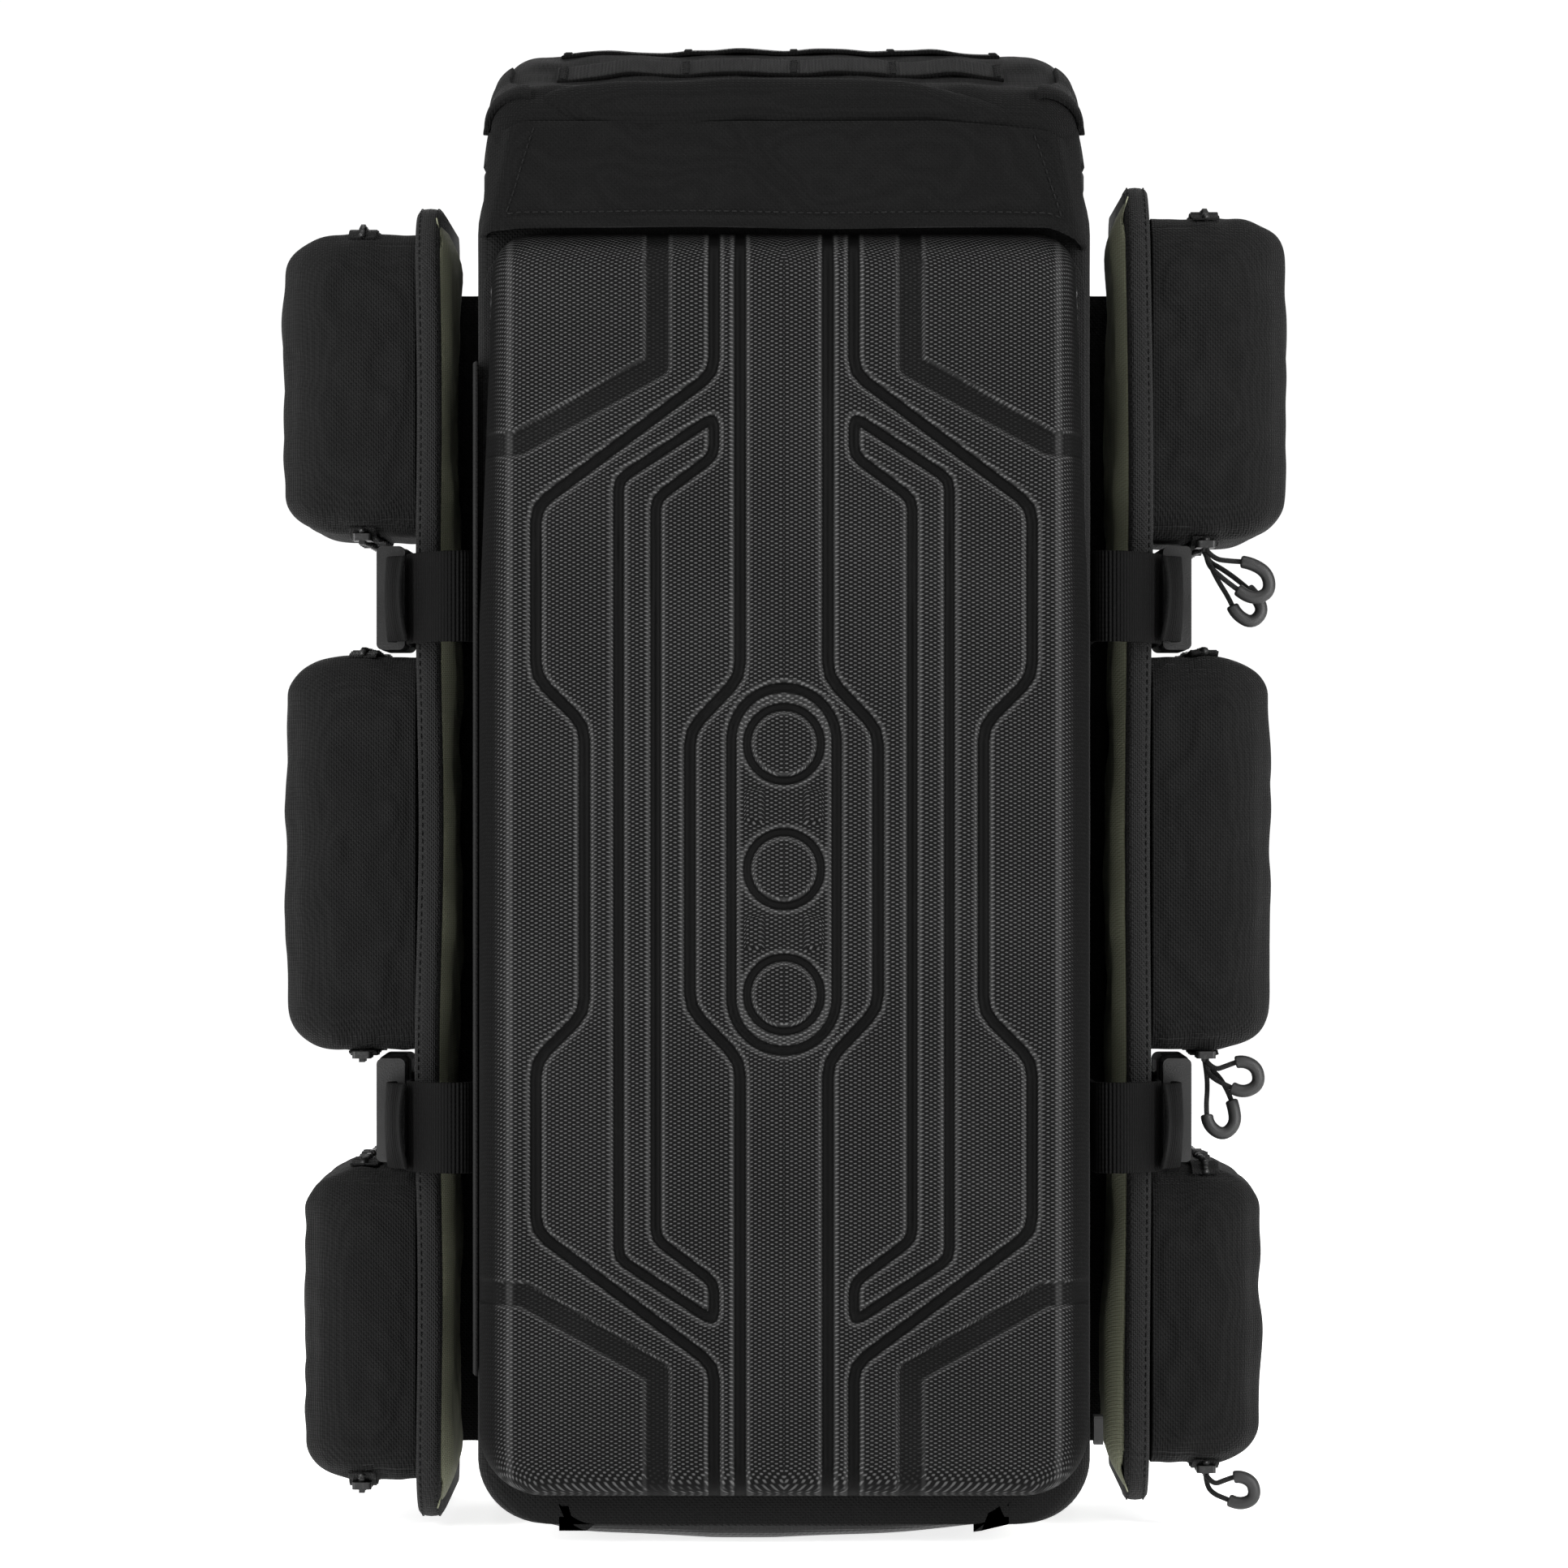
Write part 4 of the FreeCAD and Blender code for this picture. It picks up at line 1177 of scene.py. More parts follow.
def ear_place(side):
    """A flap that lies on the lid's corner and stands off a little at its hem."""
    def place(u, v):
        y = LID_SEAM_Y + 16 * (1 - u) * v + 70.5 * u
        seam = 0.74 + 0.13 * step(0, 0.7, u)
        hem = 1.19 - 0.13 * step(0.45, 1.0, u)
        s = seam + (hem - seam) * v
        x, z = lid_section(s, y, lid_height(y))
        out = lid_turn(s)
        off = 0.4 * v ** 2 + 0.6 * np.sin(v * math.pi) + 0.2 * ripple(y, z, 24, 41)
        x = x + off * np.sin(out)
        z = z + off * np.cos(out)
        y = y - 1.2 * (1 - u) ** 3
        return side * x * MM, y * MM, z * MM
    return place


for word, side in SIDES:
    ear = sheet("lid_flap_" + word, 34, 26, ear_place(side))
    face_towards(ear, (side, -1, 0.6))
    apply(ear, "SOLIDIFY", thickness=2.4 * MM, offset=0.6)
    apply(ear, "BEVEL", width=0.6 * MM, segments=2, limit_method="ANGLE", angle_limit=0.9)
    hand_in(ear, "lid", LID_SHADED_FABRIC, "pack_fabric")

# %% [markdown]
# ## The body
# The bag itself is one strip of fabric round the sides and back, with a frame of fabric left in front round the
# mouth. It is a closed ring of columns pulled up from floor to top, and the faces inside the mouth are deleted.
# Solidify then gives the wall its thickness.

# %% Body: wall, floor and piping
BODY_LOW, BODY_HIGH = box_mm("main_body")
MOUTH_X, MOUTH_LOW, MOUTH_HIGH = 110.0, 34.0, 530.0


def round_path(points, radius, count):
    """An XY line through points whose corners are arcs of one radius."""
    made = [np.array(points[0], dtype=float)]
    for before, corner, after in zip(points, points[1:], points[2:]):
        before, corner, after = [np.array(p, dtype=float) for p in (before, corner, after)]
        first = corner + (before - corner) / np.linalg.norm(before - corner) * radius
        last = corner + (after - corner) / np.linalg.norm(after - corner) * radius
        for t in np.linspace(0, 1, 9):
            made.append((1 - t) ** 2 * first + 2 * t * (1 - t) * corner + t * t * last)
    made.append(np.array(points[-1], dtype=float))
    return even(np.array(made), count)


BODY_FOOT = BODY_LOW[2] + 0.3
BODY_TURN = 27.0
FRONT_TAPER = 0.037
body_side = BODY_HIGH[0] - 0.3
BODY_FRONT, BODY_BACK = -99.9, 91.8
long_way = round_path([(-MOUTH_X, BODY_FRONT), (-body_side, BODY_FRONT), (-body_side, BODY_BACK),
                       (body_side, BODY_BACK), (body_side, BODY_FRONT), (MOUTH_X, BODY_FRONT)], 9.0, 230)
front_way = np.stack([np.linspace(MOUTH_X, -MOUTH_X, 41), np.full(41, BODY_FRONT)], axis=1)[1:]
BODY_RING = np.vstack([long_way, front_way])
BODY_LEVELS = np.concatenate([BODY_FOOT + (MOUTH_LOW - BODY_FOOT) * np.linspace(0, 1, 13)[:-1] ** 1.6,
                              np.linspace(MOUTH_LOW, MOUTH_HIGH, 100)[:-1],
                              np.linspace(MOUTH_HIGH, BODY_HIGH[2], 10)])


def body_place(u, v):
    i = nearest_row(u, len(BODY_RING))
    z = BODY_LEVELS[nearest_row(v, len(BODY_LEVELS))]
    x, y = BODY_RING[i, 0], BODY_RING[i, 1]
    soft = step(-96, -70, y) * step(8, 60, z) * step(575, 520, z)
    at_side = step(110, 126, np.abs(x))
    x = x + np.sign(x) * at_side * soft * (1.1 * ripple(y, z, 80, 51) + 0.5 * ripple(y, z, 26, 52) - 0.8)
    y = y + step(85, 91, y) * soft * 0.4 * ripple(x, z, 60, 53)
    turn = np.clip((BODY_TURN - (z - BODY_FOOT)) / BODY_TURN, 0, 1)
    half = body_side - BODY_TURN * (1 - np.sqrt(1 - 0.999 * turn ** 2))
    x = x * np.where(np.abs(x) > MOUTH_X - 12, half / body_side, np.minimum(half / np.maximum(np.abs(x), 1), 1))
    x = x * (1 - FRONT_TAPER * step(546, 573, z) * step(-30, -80, y))
    return x * MM, y * MM, z * MM


body_wall = sheet("body_wall", len(BODY_RING) - 1, len(BODY_LEVELS) - 1, body_place)
weld(body_wall)
drop_faces(body_wall, lambda f: f.center.y < -0.098 and abs(f.center.x) < MOUTH_X * MM
           and MOUTH_LOW * MM < f.center.z < MOUTH_HIGH * MM)
if max(body_wall.data.polygons, key=lambda f: f.center.y).normal.y < 0:
    edit(body_wall, bpy.ops.mesh.flip_normals)
apply(body_wall, "SOLIDIFY", thickness=3.2 * MM, offset=-1)
hand_in(body_wall, "root", FABRIC, "pack_fabric", "main_body", angle=50)


def block(name, low, high, round_by, cuts, shape=None):
    """A block with soft corners: a cube is divided, and its outer rows are wrapped round the corners."""
    low, high = np.array(low, dtype=float), np.array(high, dtype=float)
    half = (high - low) / 2
    radius = np.minimum(np.array(round_by, dtype=float) * np.ones(3), half)
    clear()
    bpy.ops.mesh.primitive_cube_add(size=2)
    piece = named(name)
    edit(piece, lambda: bpy.ops.mesh.subdivide(number_cuts=cuts))
    q = corners(piece)
    edge = 0.74
    flat = np.clip(np.abs(q) / edge, 0, 1)
    turn = np.clip((np.abs(q) - edge) / (1 - edge), 0, 1)
    way = np.sign(q) * np.tan(turn * math.pi / 4)
    way = way / np.maximum(np.linalg.norm(way, axis=1), 1e-9)[:, None]
    spot = np.sign(q) * flat * (half - radius) + way * radius
    if shape:
        spot = shape(q, spot, way)
    move_corners(piece, ((low + high) / 2 + spot) * MM)
    return piece


def boot_shape(q, spot, way):
    """The belly: it hangs lowest a little left of the middle and rises to both sides."""
    rise = 9.0 * (np.abs(spot[:, 0] + 14) / 120) ** 2.2 + 0.5 * ripple(spot[:, 0], spot[:, 1], 60, 55)
    spot[:, 2] += np.where(spot[:, 2] < 1, np.maximum(rise, 0), 0)
    return spot


floor = block("body_floor", (-103, -96, 8.6), (103, 84, 11.4), (10, 10, 1.2), 20)
hand_in(floor, "root", OLIVE, "lining_fabric")
hidden = min(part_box("frame_stays")[0][1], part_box("frame_sheet")[0][1]) / MM
sleeve = block("back_sleeve", (-119, hidden - 1.8, 14), (119, hidden - 0.5, BODY_HIGH[2] - 8), (22, 0.6, 22), 24)
hand_in(sleeve, "root", OLIVE, "lining_fabric")
boot = block("base_boot", (-108, -98, 0.2), (108, 90, 15.5), (30, 26, 6.0), 30, boot_shape)
hand_in(boot, "root", COATED, "coated_fabric", "base_panel")
line = rectangle_line(-0.120, 0.120, 0.022, 0.566, 0.024, 0.0924, 300)
hand_in(sweep("back_piping", line, round_section(1.7 * MM, 8), (0, 1, 0), closed=True), "root", BINDING, "pack_fabric")
collar = np.column_stack([BODY_RING[:-1], np.full(len(BODY_RING) - 1, BODY_HIGH[2] - 3.0)]) * MM
collar[:, :2] *= 0.9865
collar[:, 0] *= 1 - FRONT_TAPER * step(-0.030, -0.080, collar[:, 1])
hand_in(sweep("body_top_binding", collar, rounded_bar(8 * MM, 3.9 * MM, 1.2 * MM), (0, 0, 1), closed=True),
        "root", BINDING, "zip_tape")

# %% [markdown]
# Inside, a stiff padded shelf splits the bag in two. A fabric strip joins the shell's left edge to the body, and
# another joins the lid to the back. Each crosses its hinge, so each rides on neither body.

# %% Body: shelf and hinge strips
shelf_low, shelf_high = box_mm("divider_shelf")


def shelf_shape(q, spot, way):
    spot[:, 2] += np.sign(q[:, 2]) * 0.5 * ripple(spot[:, 0], spot[:, 1], 60, 61) * (np.abs(q[:, 2]) > 0.99)
    return spot


shelf = block("padded_shelf", shelf_low + (0, 0, 0.6), shelf_high - (0, 0, 0.6), (7, 7, 2.4), 24, shelf_shape)
hand_in(shelf, "root", OLIVE, "lining_fabric", "divider_shelf")

strip_line = smooth_line([(-0.1284, -0.088, 0.281), (-0.1288, -0.098, 0.281), (-0.1284, -0.104, 0.281),
                          (-0.1272, -0.111, 0.281)], 14)
shell_strip = webbing_band("shell_hinge_strip", strip_line, (0, 0, 1), 0.42, 1.0 * MM, 40)
hand_in(shell_strip, None, FABRIC, "pack_fabric")
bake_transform(shell_strip)

lid_strip_line = smooth_line([(0, 0.0932, 0.556), (0, 0.0936, 0.568), (0, 0.0943, 0.577), (0, 0.0937, 0.587),
                              (0, 0.0920, 0.598)], 20)
lid_strip = webbing_band("lid_hinge_strip", lid_strip_line, (1, 0, 0), 0.232, 1.0 * MM, 40)
hand_in(lid_strip, None, FABRIC, "pack_fabric")
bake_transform(lid_strip)

# %% [markdown]
# ## The wings
# A wing is a long padded panel at each side. Two sheets that swell between the seams make it, and a binding
# tape folded over the edge holds them together. From the front only that tape and the olive lining show, so
# both get folds of their own.

# %% Wings
WING_COLUMNS = 420


def wing_outline(side):
    """The panel's edge, a closed line in the YZ plane, with rounder corners in front."""
    low, high = box_mm("wing_panel_" + side)
    y0, y1, z0, z1 = low[1] + 2.4, high[1] - 2.4, low[2] + 2.4, high[2] - 2.4
    points = []
    for cy, cz, radius, start in ((y1 - 8, z1 - 8, 8, 0), (y0 + 25, z1 - 25, 25, 90), (y0 + 25, z0 + 25, 25, 180),
                                  (y1 - 8, z0 + 8, 8, 270)):
        for k in range(9):
            angle = math.radians(start + k * 90 / 8)
            points.append((cy + radius * math.cos(angle), cz + radius * math.sin(angle)))
    points.append(points[0])
    return even(np.array(points), WING_COLUMNS + 1)[:-1]


def wing_face(side, out):
    """One face of the panel, from its edge line to its middle line. out is +1 outside, -1 towards the body."""
    rim = wing_outline(side)
    way = -1 if side == "left" else 1
    spine = np.stack([np.full(len(rim), 17.0), np.clip(rim[:, 1], 60, 510)], axis=1)

    def place(u, v):
        i = np.rint(u * len(rim)).astype(int) % len(rim)
        y = rim[i, 0] + (spine[i, 0] - rim[i, 0]) * v
        z = rim[i, 1] + (spine[i, 1] - rim[i, 1]) * v
        swell = np.sin(np.clip(v * 2.2, 0, 1) * math.pi / 2)
        soft = 0.4 * ripple(y, z, 60, 71) * swell
        x = 150 + wing_wave(side, y, z) + out * (1.6 + 2.2 * swell + soft)
        return way * x * MM, y * MM, z * MM
    return place


def wing_wave(side, y, z):
    """The slow bend of the whole panel, felt by its edge and its faces. It fades where pouches are sewn on."""
    seed = 73 if side == "left" else 74
    return 1.1 * ripple(z * 0.0, z, 190, seed, 4) * step(-10, -50, y)


def edge_arrows(line, middle):
    """Arrows of length 1, square to a line in the YZ plane, that point away from the middle."""
    ahead = np.gradient(line, axis=0)
    away = unit(np.column_stack([np.zeros(len(line)), -ahead[:, 1], ahead[:, 0]]))
    return away * np.sign((away[:, 1:] * (line - middle)).sum(axis=1).mean())


for side, way in SIDES:
    faces = []
    for out in (1, -1):
        face = sheet("wing_face", WING_COLUMNS, 14, wing_face(side, out))
        face_towards(face, (out * way, 0, 0))
        faces.append(face)
    panel = join("wing_panel_%s_cover" % side, faces)
    weld(panel, 0.0001)
    hand_in(panel, "wing_" + side, FABRIC, "pack_fabric", "wing_panel_" + side)
    rim = wing_outline(side)
    middle = rim.mean(axis=0)
    edge = np.column_stack([150 + wing_wave(side, rim[:, 0], rim[:, 1]), rim])
    edge[:, 0] *= way
    outward = edge_arrows(rim, middle)
    flat_u = [(5.1, 0.8), (4.2, 2.1), (2.2, 2.8), (0, 3.0), (-2.2, 2.8), (-4.2, 2.1), (-5.1, 0.8), (-5.4, -7.5),
              (-4.3, -7.9), (-3.9, -0.6), (3.9, -0.6), (4.3, -7.9), (5.4, -7.5)]

    def bound(outline, side=side, edge=edge):
        """The binding tape for one outline of its folded section."""
        section = [(a * MM, b * MM) for a, b in outline]
        return sweep("wing_binding_" + side, edge * MM, section, (1.0, 0, 0), closed=True)

    binding = bound(flat_u)
    places = corners(binding) / MM
    gap = np.array([np.linalg.norm(edge[:, 1:] - p[1:], axis=1).argmin() for p in places])
    if ((places - edge[gap]) * outward[gap]).sum(axis=1).max() > 5:
        bpy.data.objects.remove(binding)
        binding = bound([(a, -b) for a, b in flat_u])
    hand_in(binding, "wing_" + side, BINDING, "zip_tape", angle=60)
    front = edge[(edge[:, 1] < 20)]
    first = np.argmax(np.linalg.norm(np.diff(front, axis=0), axis=1))
    front = np.roll(front, -(first + 1), axis=0) if np.linalg.norm(front[first + 1] - front[first]) > 20 else front
    away = edge_arrows(front[:, 1:], middle)
    for offset, word in ((3.5, "outer"), (-3.5, "inner")):
        seam = front + np.array([way * offset, 0, 0])
        stitches("wing_thread_%s_%s" % (side, word), (seam + away * 2.75) * MM, away, "wing_" + side)

# %% [markdown]
# The lining of each wing is looser than the panel, so it billows behind the tape. It is laid as one sheet whose
# bulge is largest near the foot, held by the seam all round.

# %% Wings: lining and gusset
for side, way in SIDES:
    low, high = box_mm("wing_panel_" + side)

    def lining_place(u, v, side=side, way=way, low=low, high=high):
        y = low[1] + 2.6 + (high[1] - low[1] - 8) * u ** 1.25
        z = low[2] + 5 + (high[2] - low[2] - 10) * v
        ends = np.clip(np.minimum(z - low[2] - 5, high[2] - 5 - z) / 22, 0, 1)
        corner = np.hypot(np.maximum(low[1] + 27 - y, 0), np.maximum(np.maximum(z - high[2] + 27, low[2] + 27 - z), 0))
        y = y + np.clip((corner - 22.5) / 5, 0, 1) * 6
        roll = np.sin(np.clip((y - low[1] - 2.6) / 15, 0, 1) * math.pi / 2)
        belly = 6.0 + 1.8 * ripple(y * 0.3, z, 105, 81 + way) + 0.7 * ripple(y, z, 30, 83)
        belly = belly + (3.2 * np.exp(-((z - 80) / 60) ** 2) if side == "right" else 0)
        belly = np.clip(belly, 3.0, 9.6) * (1 - 0.75 * step(5, 70, y))
        x = 146.6 + wing_wave(side, y, z) - roll * np.sin(ends * math.pi / 2) * belly
        return way * x * MM, y * MM, z * MM

    lining = sheet("wing_lining_%s_cloth" % side, 44, 150, lining_place)
    face_towards(lining, (-way, 0, 0))
    apply(lining, "SOLIDIFY", thickness=0.5 * MM, offset=1)
    hand_in(lining, "wing_" + side, OLIVE, "lining_fabric", "wing_lining_" + side)
    gusset_low, gusset_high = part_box("wing_gussets")
    level = (gusset_low[2] + gusset_high[2]) / 2
    fold = smooth_line([(way * 0.1274, 0.0772, level), (way * 0.133, 0.0762, level), (way * 0.138, 0.0782, level),
                        (way * 0.1466, 0.0775, level)], 18)
    gusset = webbing_band("wing_gusset_" + side, fold, (0, 0, 1), gusset_high[2] - gusset_low[2], 0.9 * MM, 50)
    hand_in(gusset, None, FABRIC, "pack_fabric", *(["wing_gussets"] if side == "left" else []))
    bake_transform(gusset)

# %% [markdown]
# ## The pouches
# Six pouches are sewn to the wings. Each is a soft block of plain fabric, cut open by a zip round three sides so
# that the outer half swings on the front edge. The block is cut at the zip line first. Then a cloth simulation
# blows it up with the seams held, which gives the puckers beside the zip, and then the two halves are parted.

# %% Pouches: swelling cloth
ZIP_X = 179.25
SEAM_X = 155.4
POUCH_IN = SEAM_X - 24
POUCH_FRONT, POUCH_BACK = -50.0, 85.0
POUCH_MIDDLE, POUCH_HALF = (POUCH_FRONT + POUCH_BACK) / 2, (POUCH_BACK - POUCH_FRONT) / 2


def puff(piece, held, cap, growth, pressure, frames=16):
    """Blow a closed mesh up as cloth with some corners held. No corner moves further than the cap."""
    start = corners(piece)
    group = piece.vertex_groups.new(name="held")
    group.add([int(i) for i in np.nonzero(held)[0]], 1.0, "REPLACE")
    pick(piece)
    cloth = piece.modifiers.new("Cloth", "CLOTH")
    cloth.settings.quality = 5
    cloth.settings.mass = 0.2
    cloth.settings.tension_stiffness = 14
    cloth.settings.compression_stiffness = 14
    cloth.settings.shear_stiffness = 5
    cloth.settings.bending_stiffness = 0.25
    cloth.settings.use_pressure = True
    cloth.settings.uniform_pressure_force = pressure
    cloth.settings.vertex_group_mass = "held"
    cloth.settings.shrink_min = growth
    cloth.settings.effector_weights.gravity = 0
    cloth.collision_settings.use_collision = False
    for frame in range(1, frames + 1):
        bpy.context.scene.frame_set(frame)
    bpy.ops.object.modifier_apply(modifier="Cloth")
    piece.vertex_groups.clear()
    moved = corners(piece) - start
    far = np.linalg.norm(moved, axis=1)[:, None]
    print(piece.name, "swelled by up to", round(float(far.max()) * 1000, 1), "mm")
    move_corners(piece, start + moved * np.minimum(1, cap / np.maximum(far, 1e-9)))
    bpy.context.scene.frame_set(1)


def pouch_shape(low, high, out, seed):
    middle = np.array([(POUCH_IN + out) / 2, POUCH_MIDDLE, (low + high) / 2])

    def shape(q, spot, turn):
        spot = spot + middle
        x, y, z = spot.T
        tall = np.clip(1 - ((z - middle[2]) / (high - low) * 2) ** 2, 0, 1)
        deep = np.clip(1 - ((y - POUCH_MIDDLE) / POUCH_HALF) ** 2, 0, 1)
        wide = np.clip(1 - ((x - 183) / 32) ** 2, 0, 1)
        spot[:, 1] += np.where(q[:, 1] < -0.99, -3.2 * tall ** 0.7 * wide ** 0.7, 0)
        spot[:, 0] += np.where(q[:, 0] > 0.99, 2.6 * tall ** 0.7 * deep ** 0.7, 0)
        soft = 0.7 * ripple(x + z, y - x, 42, seed) + 0.5 * ripple(x - z * 0.6, y + z, 20, seed + 1)
        near_zip = np.exp(-((x - ZIP_X) / 7.0) ** 2)
        along = np.where(np.abs(q[:, 2]) > 0.99, y, z)
        ends = np.maximum(np.abs(q[:, 2]) > 0.9, q[:, 1] > 0.9)
        pleat = near_zip * ends * (0.9 * np.sin(2 * math.pi * along / 12.5 + seed) + 0.7)
        reach = step(SEAM_X, SEAM_X + 8, x)
        spot = spot + turn * ((soft * (1 - near_zip) + pleat) * reach)[:, None]
        spot[:, 0] = np.maximum(spot[:, 0], SEAM_X)
        return spot - middle
    return shape


# %% Pouches: one after the other
def pouch(side, level, seed):
    name = side + "_" + level
    way = -1 if side == "left" else 1
    base, cover = [box_mm("pouch_%s_%s" % (half, name)) for half in ("base", "cover")]
    low, high, out = base[0][2], base[1][2], max(abs(cover[0][0]), abs(cover[1][0]))
    piece = block("pouch", (POUCH_IN, POUCH_FRONT, low), (out, POUCH_BACK, high), (22, 15, 17), 34,
                  pouch_shape(low, high, out - 1.5, seed))
    edit(piece, lambda: bpy.ops.mesh.bisect(plane_co=(ZIP_X * MM, 0, 0), plane_no=(1, 0, 0)))
    edit(piece, bpy.ops.mesh.normals_make_consistent)
    at = corners(piece) / MM
    in_front = np.zeros(len(at), dtype=bool)
    for face in piece.data.polygons:
        front = face.normal.y < -0.66 and face.center.y < -0.030
        face.material_index = 2 if front or face.center.x > ZIP_X * MM else 0
        if front:
            in_front[list(face.vertices)] = True
    zipped = (np.abs(at[:, 0] - ZIP_X) < 0.02) & ~in_front
    held = (at[:, 0] < SEAM_X + 0.02) | zipped
    puff(piece, held, 5.0 * MM, -0.035, 1.6)
    at = corners(piece)
    at[:, 2] = np.clip(at[:, 2], (low - 2.6) * MM, (high + 2.6) * MM)
    at[:, 0] = np.minimum(at[:, 0], (out + 4) * MM)
    at[:, 0] *= way
    move_corners(piece, at)
    if way < 0:
        edit(piece, bpy.ops.mesh.flip_normals)
    line = at[zipped]
    centre = line.mean(axis=0)
    line = line[np.argsort(np.arctan2(line[:, 2] - centre[2], line[:, 1] - centre[1]))]
    apply(piece, "SUBSURF", levels=1, render_levels=1)
    pick(piece)
    bpy.ops.object.duplicate()
    twin = named("pouch_cover_%s_cloth" % name)
    piece.name = piece.data.name = "pouch_base_%s_cloth" % name
    drop_faces(piece, lambda f: f.material_index == 2)
    drop_faces(twin, lambda f: f.material_index == 0)
    for half, body, word in ((piece, "wing_" + side, "base"), (twin, "cover_" + name, "cover")):
        for face in half.data.polygons:
            face.material_index = 0
        apply(half, "SOLIDIFY", thickness=1.3 * MM, offset=-1)
        hand_in(half, body, FABRIC, "pack_fabric", "pouch_%s_%s" % (word, name))
    pouch_zip(name, side, even(line, 150), centre)


def pouch_zip(name, side, line, centre):
    """Two pleated tapes and the coil between them, along the cut."""
    ahead = np.gradient(line, axis=0)
    outward = unit(np.cross(ahead, (1, 0, 0)))
    outward *= np.sign(((line - centre) * outward).sum())
    pleat = np.sin(distances(line) * 2 * math.pi / (10.5 * MM))[:, None] * 0.6 * MM
    for half, body, shift in (("base", "wing_" + side, -1), ("cover", "cover_" + name, 1)):
        way = -shift if side == "left" else shift
        run = line + outward * (1.0 * MM + pleat) + np.array([way * 3.0 * MM, 0, 0])
        tape = webbing_band("zip_tape_%s_%s" % (name, half), run, (1, 0, 0), 5.6 * MM, 0.9 * MM, 4)
        hand_in(tape, body, TAPE, "zip_tape")
    teeth = coil("zip_coil_" + name, line + outward * 1.9 * MM, (1, 0, 0), 1.35 * MM, 3.4 * MM)
    hand_in(teeth, "wing_" + side, COIL, "zip_tape")


for number, level in enumerate(("top", "middle", "bottom")):
    for side in ("left", "right"):
        pouch(side, level, 101 + number * 10 + (side == "right") * 5)

# %% [markdown]
# ## Compression straps
# Wide webbing is sewn to the body beside the shell, goes round the wing's front edge into a side buckle, and
# pulls the wing in. It crosses the wing's hinge, so it rides on neither body. The loose end returns over
# the buckle as a second layer, and its cut end curls.

# %% Compression straps
def level_line(points, count, way, z):
    """A soft line drawn for the right side and laid at one level. Way is -1 for the left side."""
    flat = smooth_line(points, count)
    return np.column_stack([way * flat[:, 0], flat[:, 1], np.full(len(flat), z)])


STRAP_WIDE = 38 * MM
STRAP_IN = [(129.8, -52), (129.8, -80), (133, -88.5), (139.5, -90), (147, -84), (155.5, -71), (158.4, -62),
            (158.4, -30)]
STRAP_REAR = [(156.6, 62), (156.6, 25), (158.4, 17), (166, 17)]
TAIL = [(164.5, -47.5), (167.2, -54), (167.4, -61), (165.0, -67.5), (161.8, -72), (160.4, -77)]

for side, way in SIDES:
    for level, z in (("upper", 394), ("lower", 172)):
        name = side + "_" + level
        run = level_line(STRAP_IN, 90, way, z)
        run[:, 2] += 0.5 * np.sin(np.linspace(0, 5, len(run)))
        strap = webbing_band("strap_" + name, run * MM, (0, 0, 1), STRAP_WIDE, 1.8 * MM, 16)
        hand_webbing(strap, None, "compression_strap_" + name)
        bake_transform(strap)
        run = level_line(STRAP_REAR, 40, way, z)
        rear = webbing_band("strap_%s_rear" % name, run * MM, (0, 0, 1), STRAP_WIDE, 1.8 * MM, 16)
        hand_webbing(rear, "wing_" + side)
        run = level_line(TAIL, 46, way, z)
        tail = webbing_band("strap_%s_tail" % name, run * MM, (0, 0, 1), 36 * MM, 1.7 * MM, 22)
        places = corners(tail) / MM
        free = np.clip((-50 - places[:, 1]) / 20, 0, 1)
        bow = np.clip(1 - ((places[:, 2] - z) / 17) ** 2, -0.4, 1)
        places[:, 0] += way * free * (1.8 * bow - 1.4 + 0.5 * (places[:, 2] - z) / 17)
        places[:, 1] += free * (2.0 - 2.0 * bow)
        move_corners(tail, places * MM)
        hand_webbing(tail, "plug_" + name)
print("straps made")

# %% [markdown]
# ## The harness
# Nothing of the harness shows from the front, but a pack is carried by it. Shoulder straps are foam between
# fabric and air mesh, bound at the edges, with a webbing ladder on top. Pads of the same mesh sit on the back.

# %% Harness: shoulder straps
HARNESS_LINE = [(99, 518), (118, 512), (131, 488), (136, 440), (137, 360), (134, 300), (128, 262)]
WEARER = np.array([100.0, 400.0]) * MM
STRAP_AT = 72.0


def strap_section(wide, thick):
    """A flat oval, thinner towards the bound edges."""
    outline = []
    for k in range(24):
        angle = 2 * math.pi * k / 24
        outline.append((wide / 2 * abs(math.cos(angle)) ** 0.55 * np.sign(math.cos(angle)),
                        thick / 2 * abs(math.sin(angle)) ** 0.8 * np.sign(math.sin(angle))))
    return outline


def upright_line(points, count, x):
    """A soft line drawn in the YZ plane and laid at one x."""
    flat = smooth_line(points, count)
    return np.column_stack([np.full(len(flat), x), flat]) * MM


def strap_narrowing(t):
    """The shoulder strap's width along its length: full at the chest, less at both ends."""
    return 1 - 0.14 * step(0.55, 1.0, t) - 0.05 * step(0.1, 0.0, t)


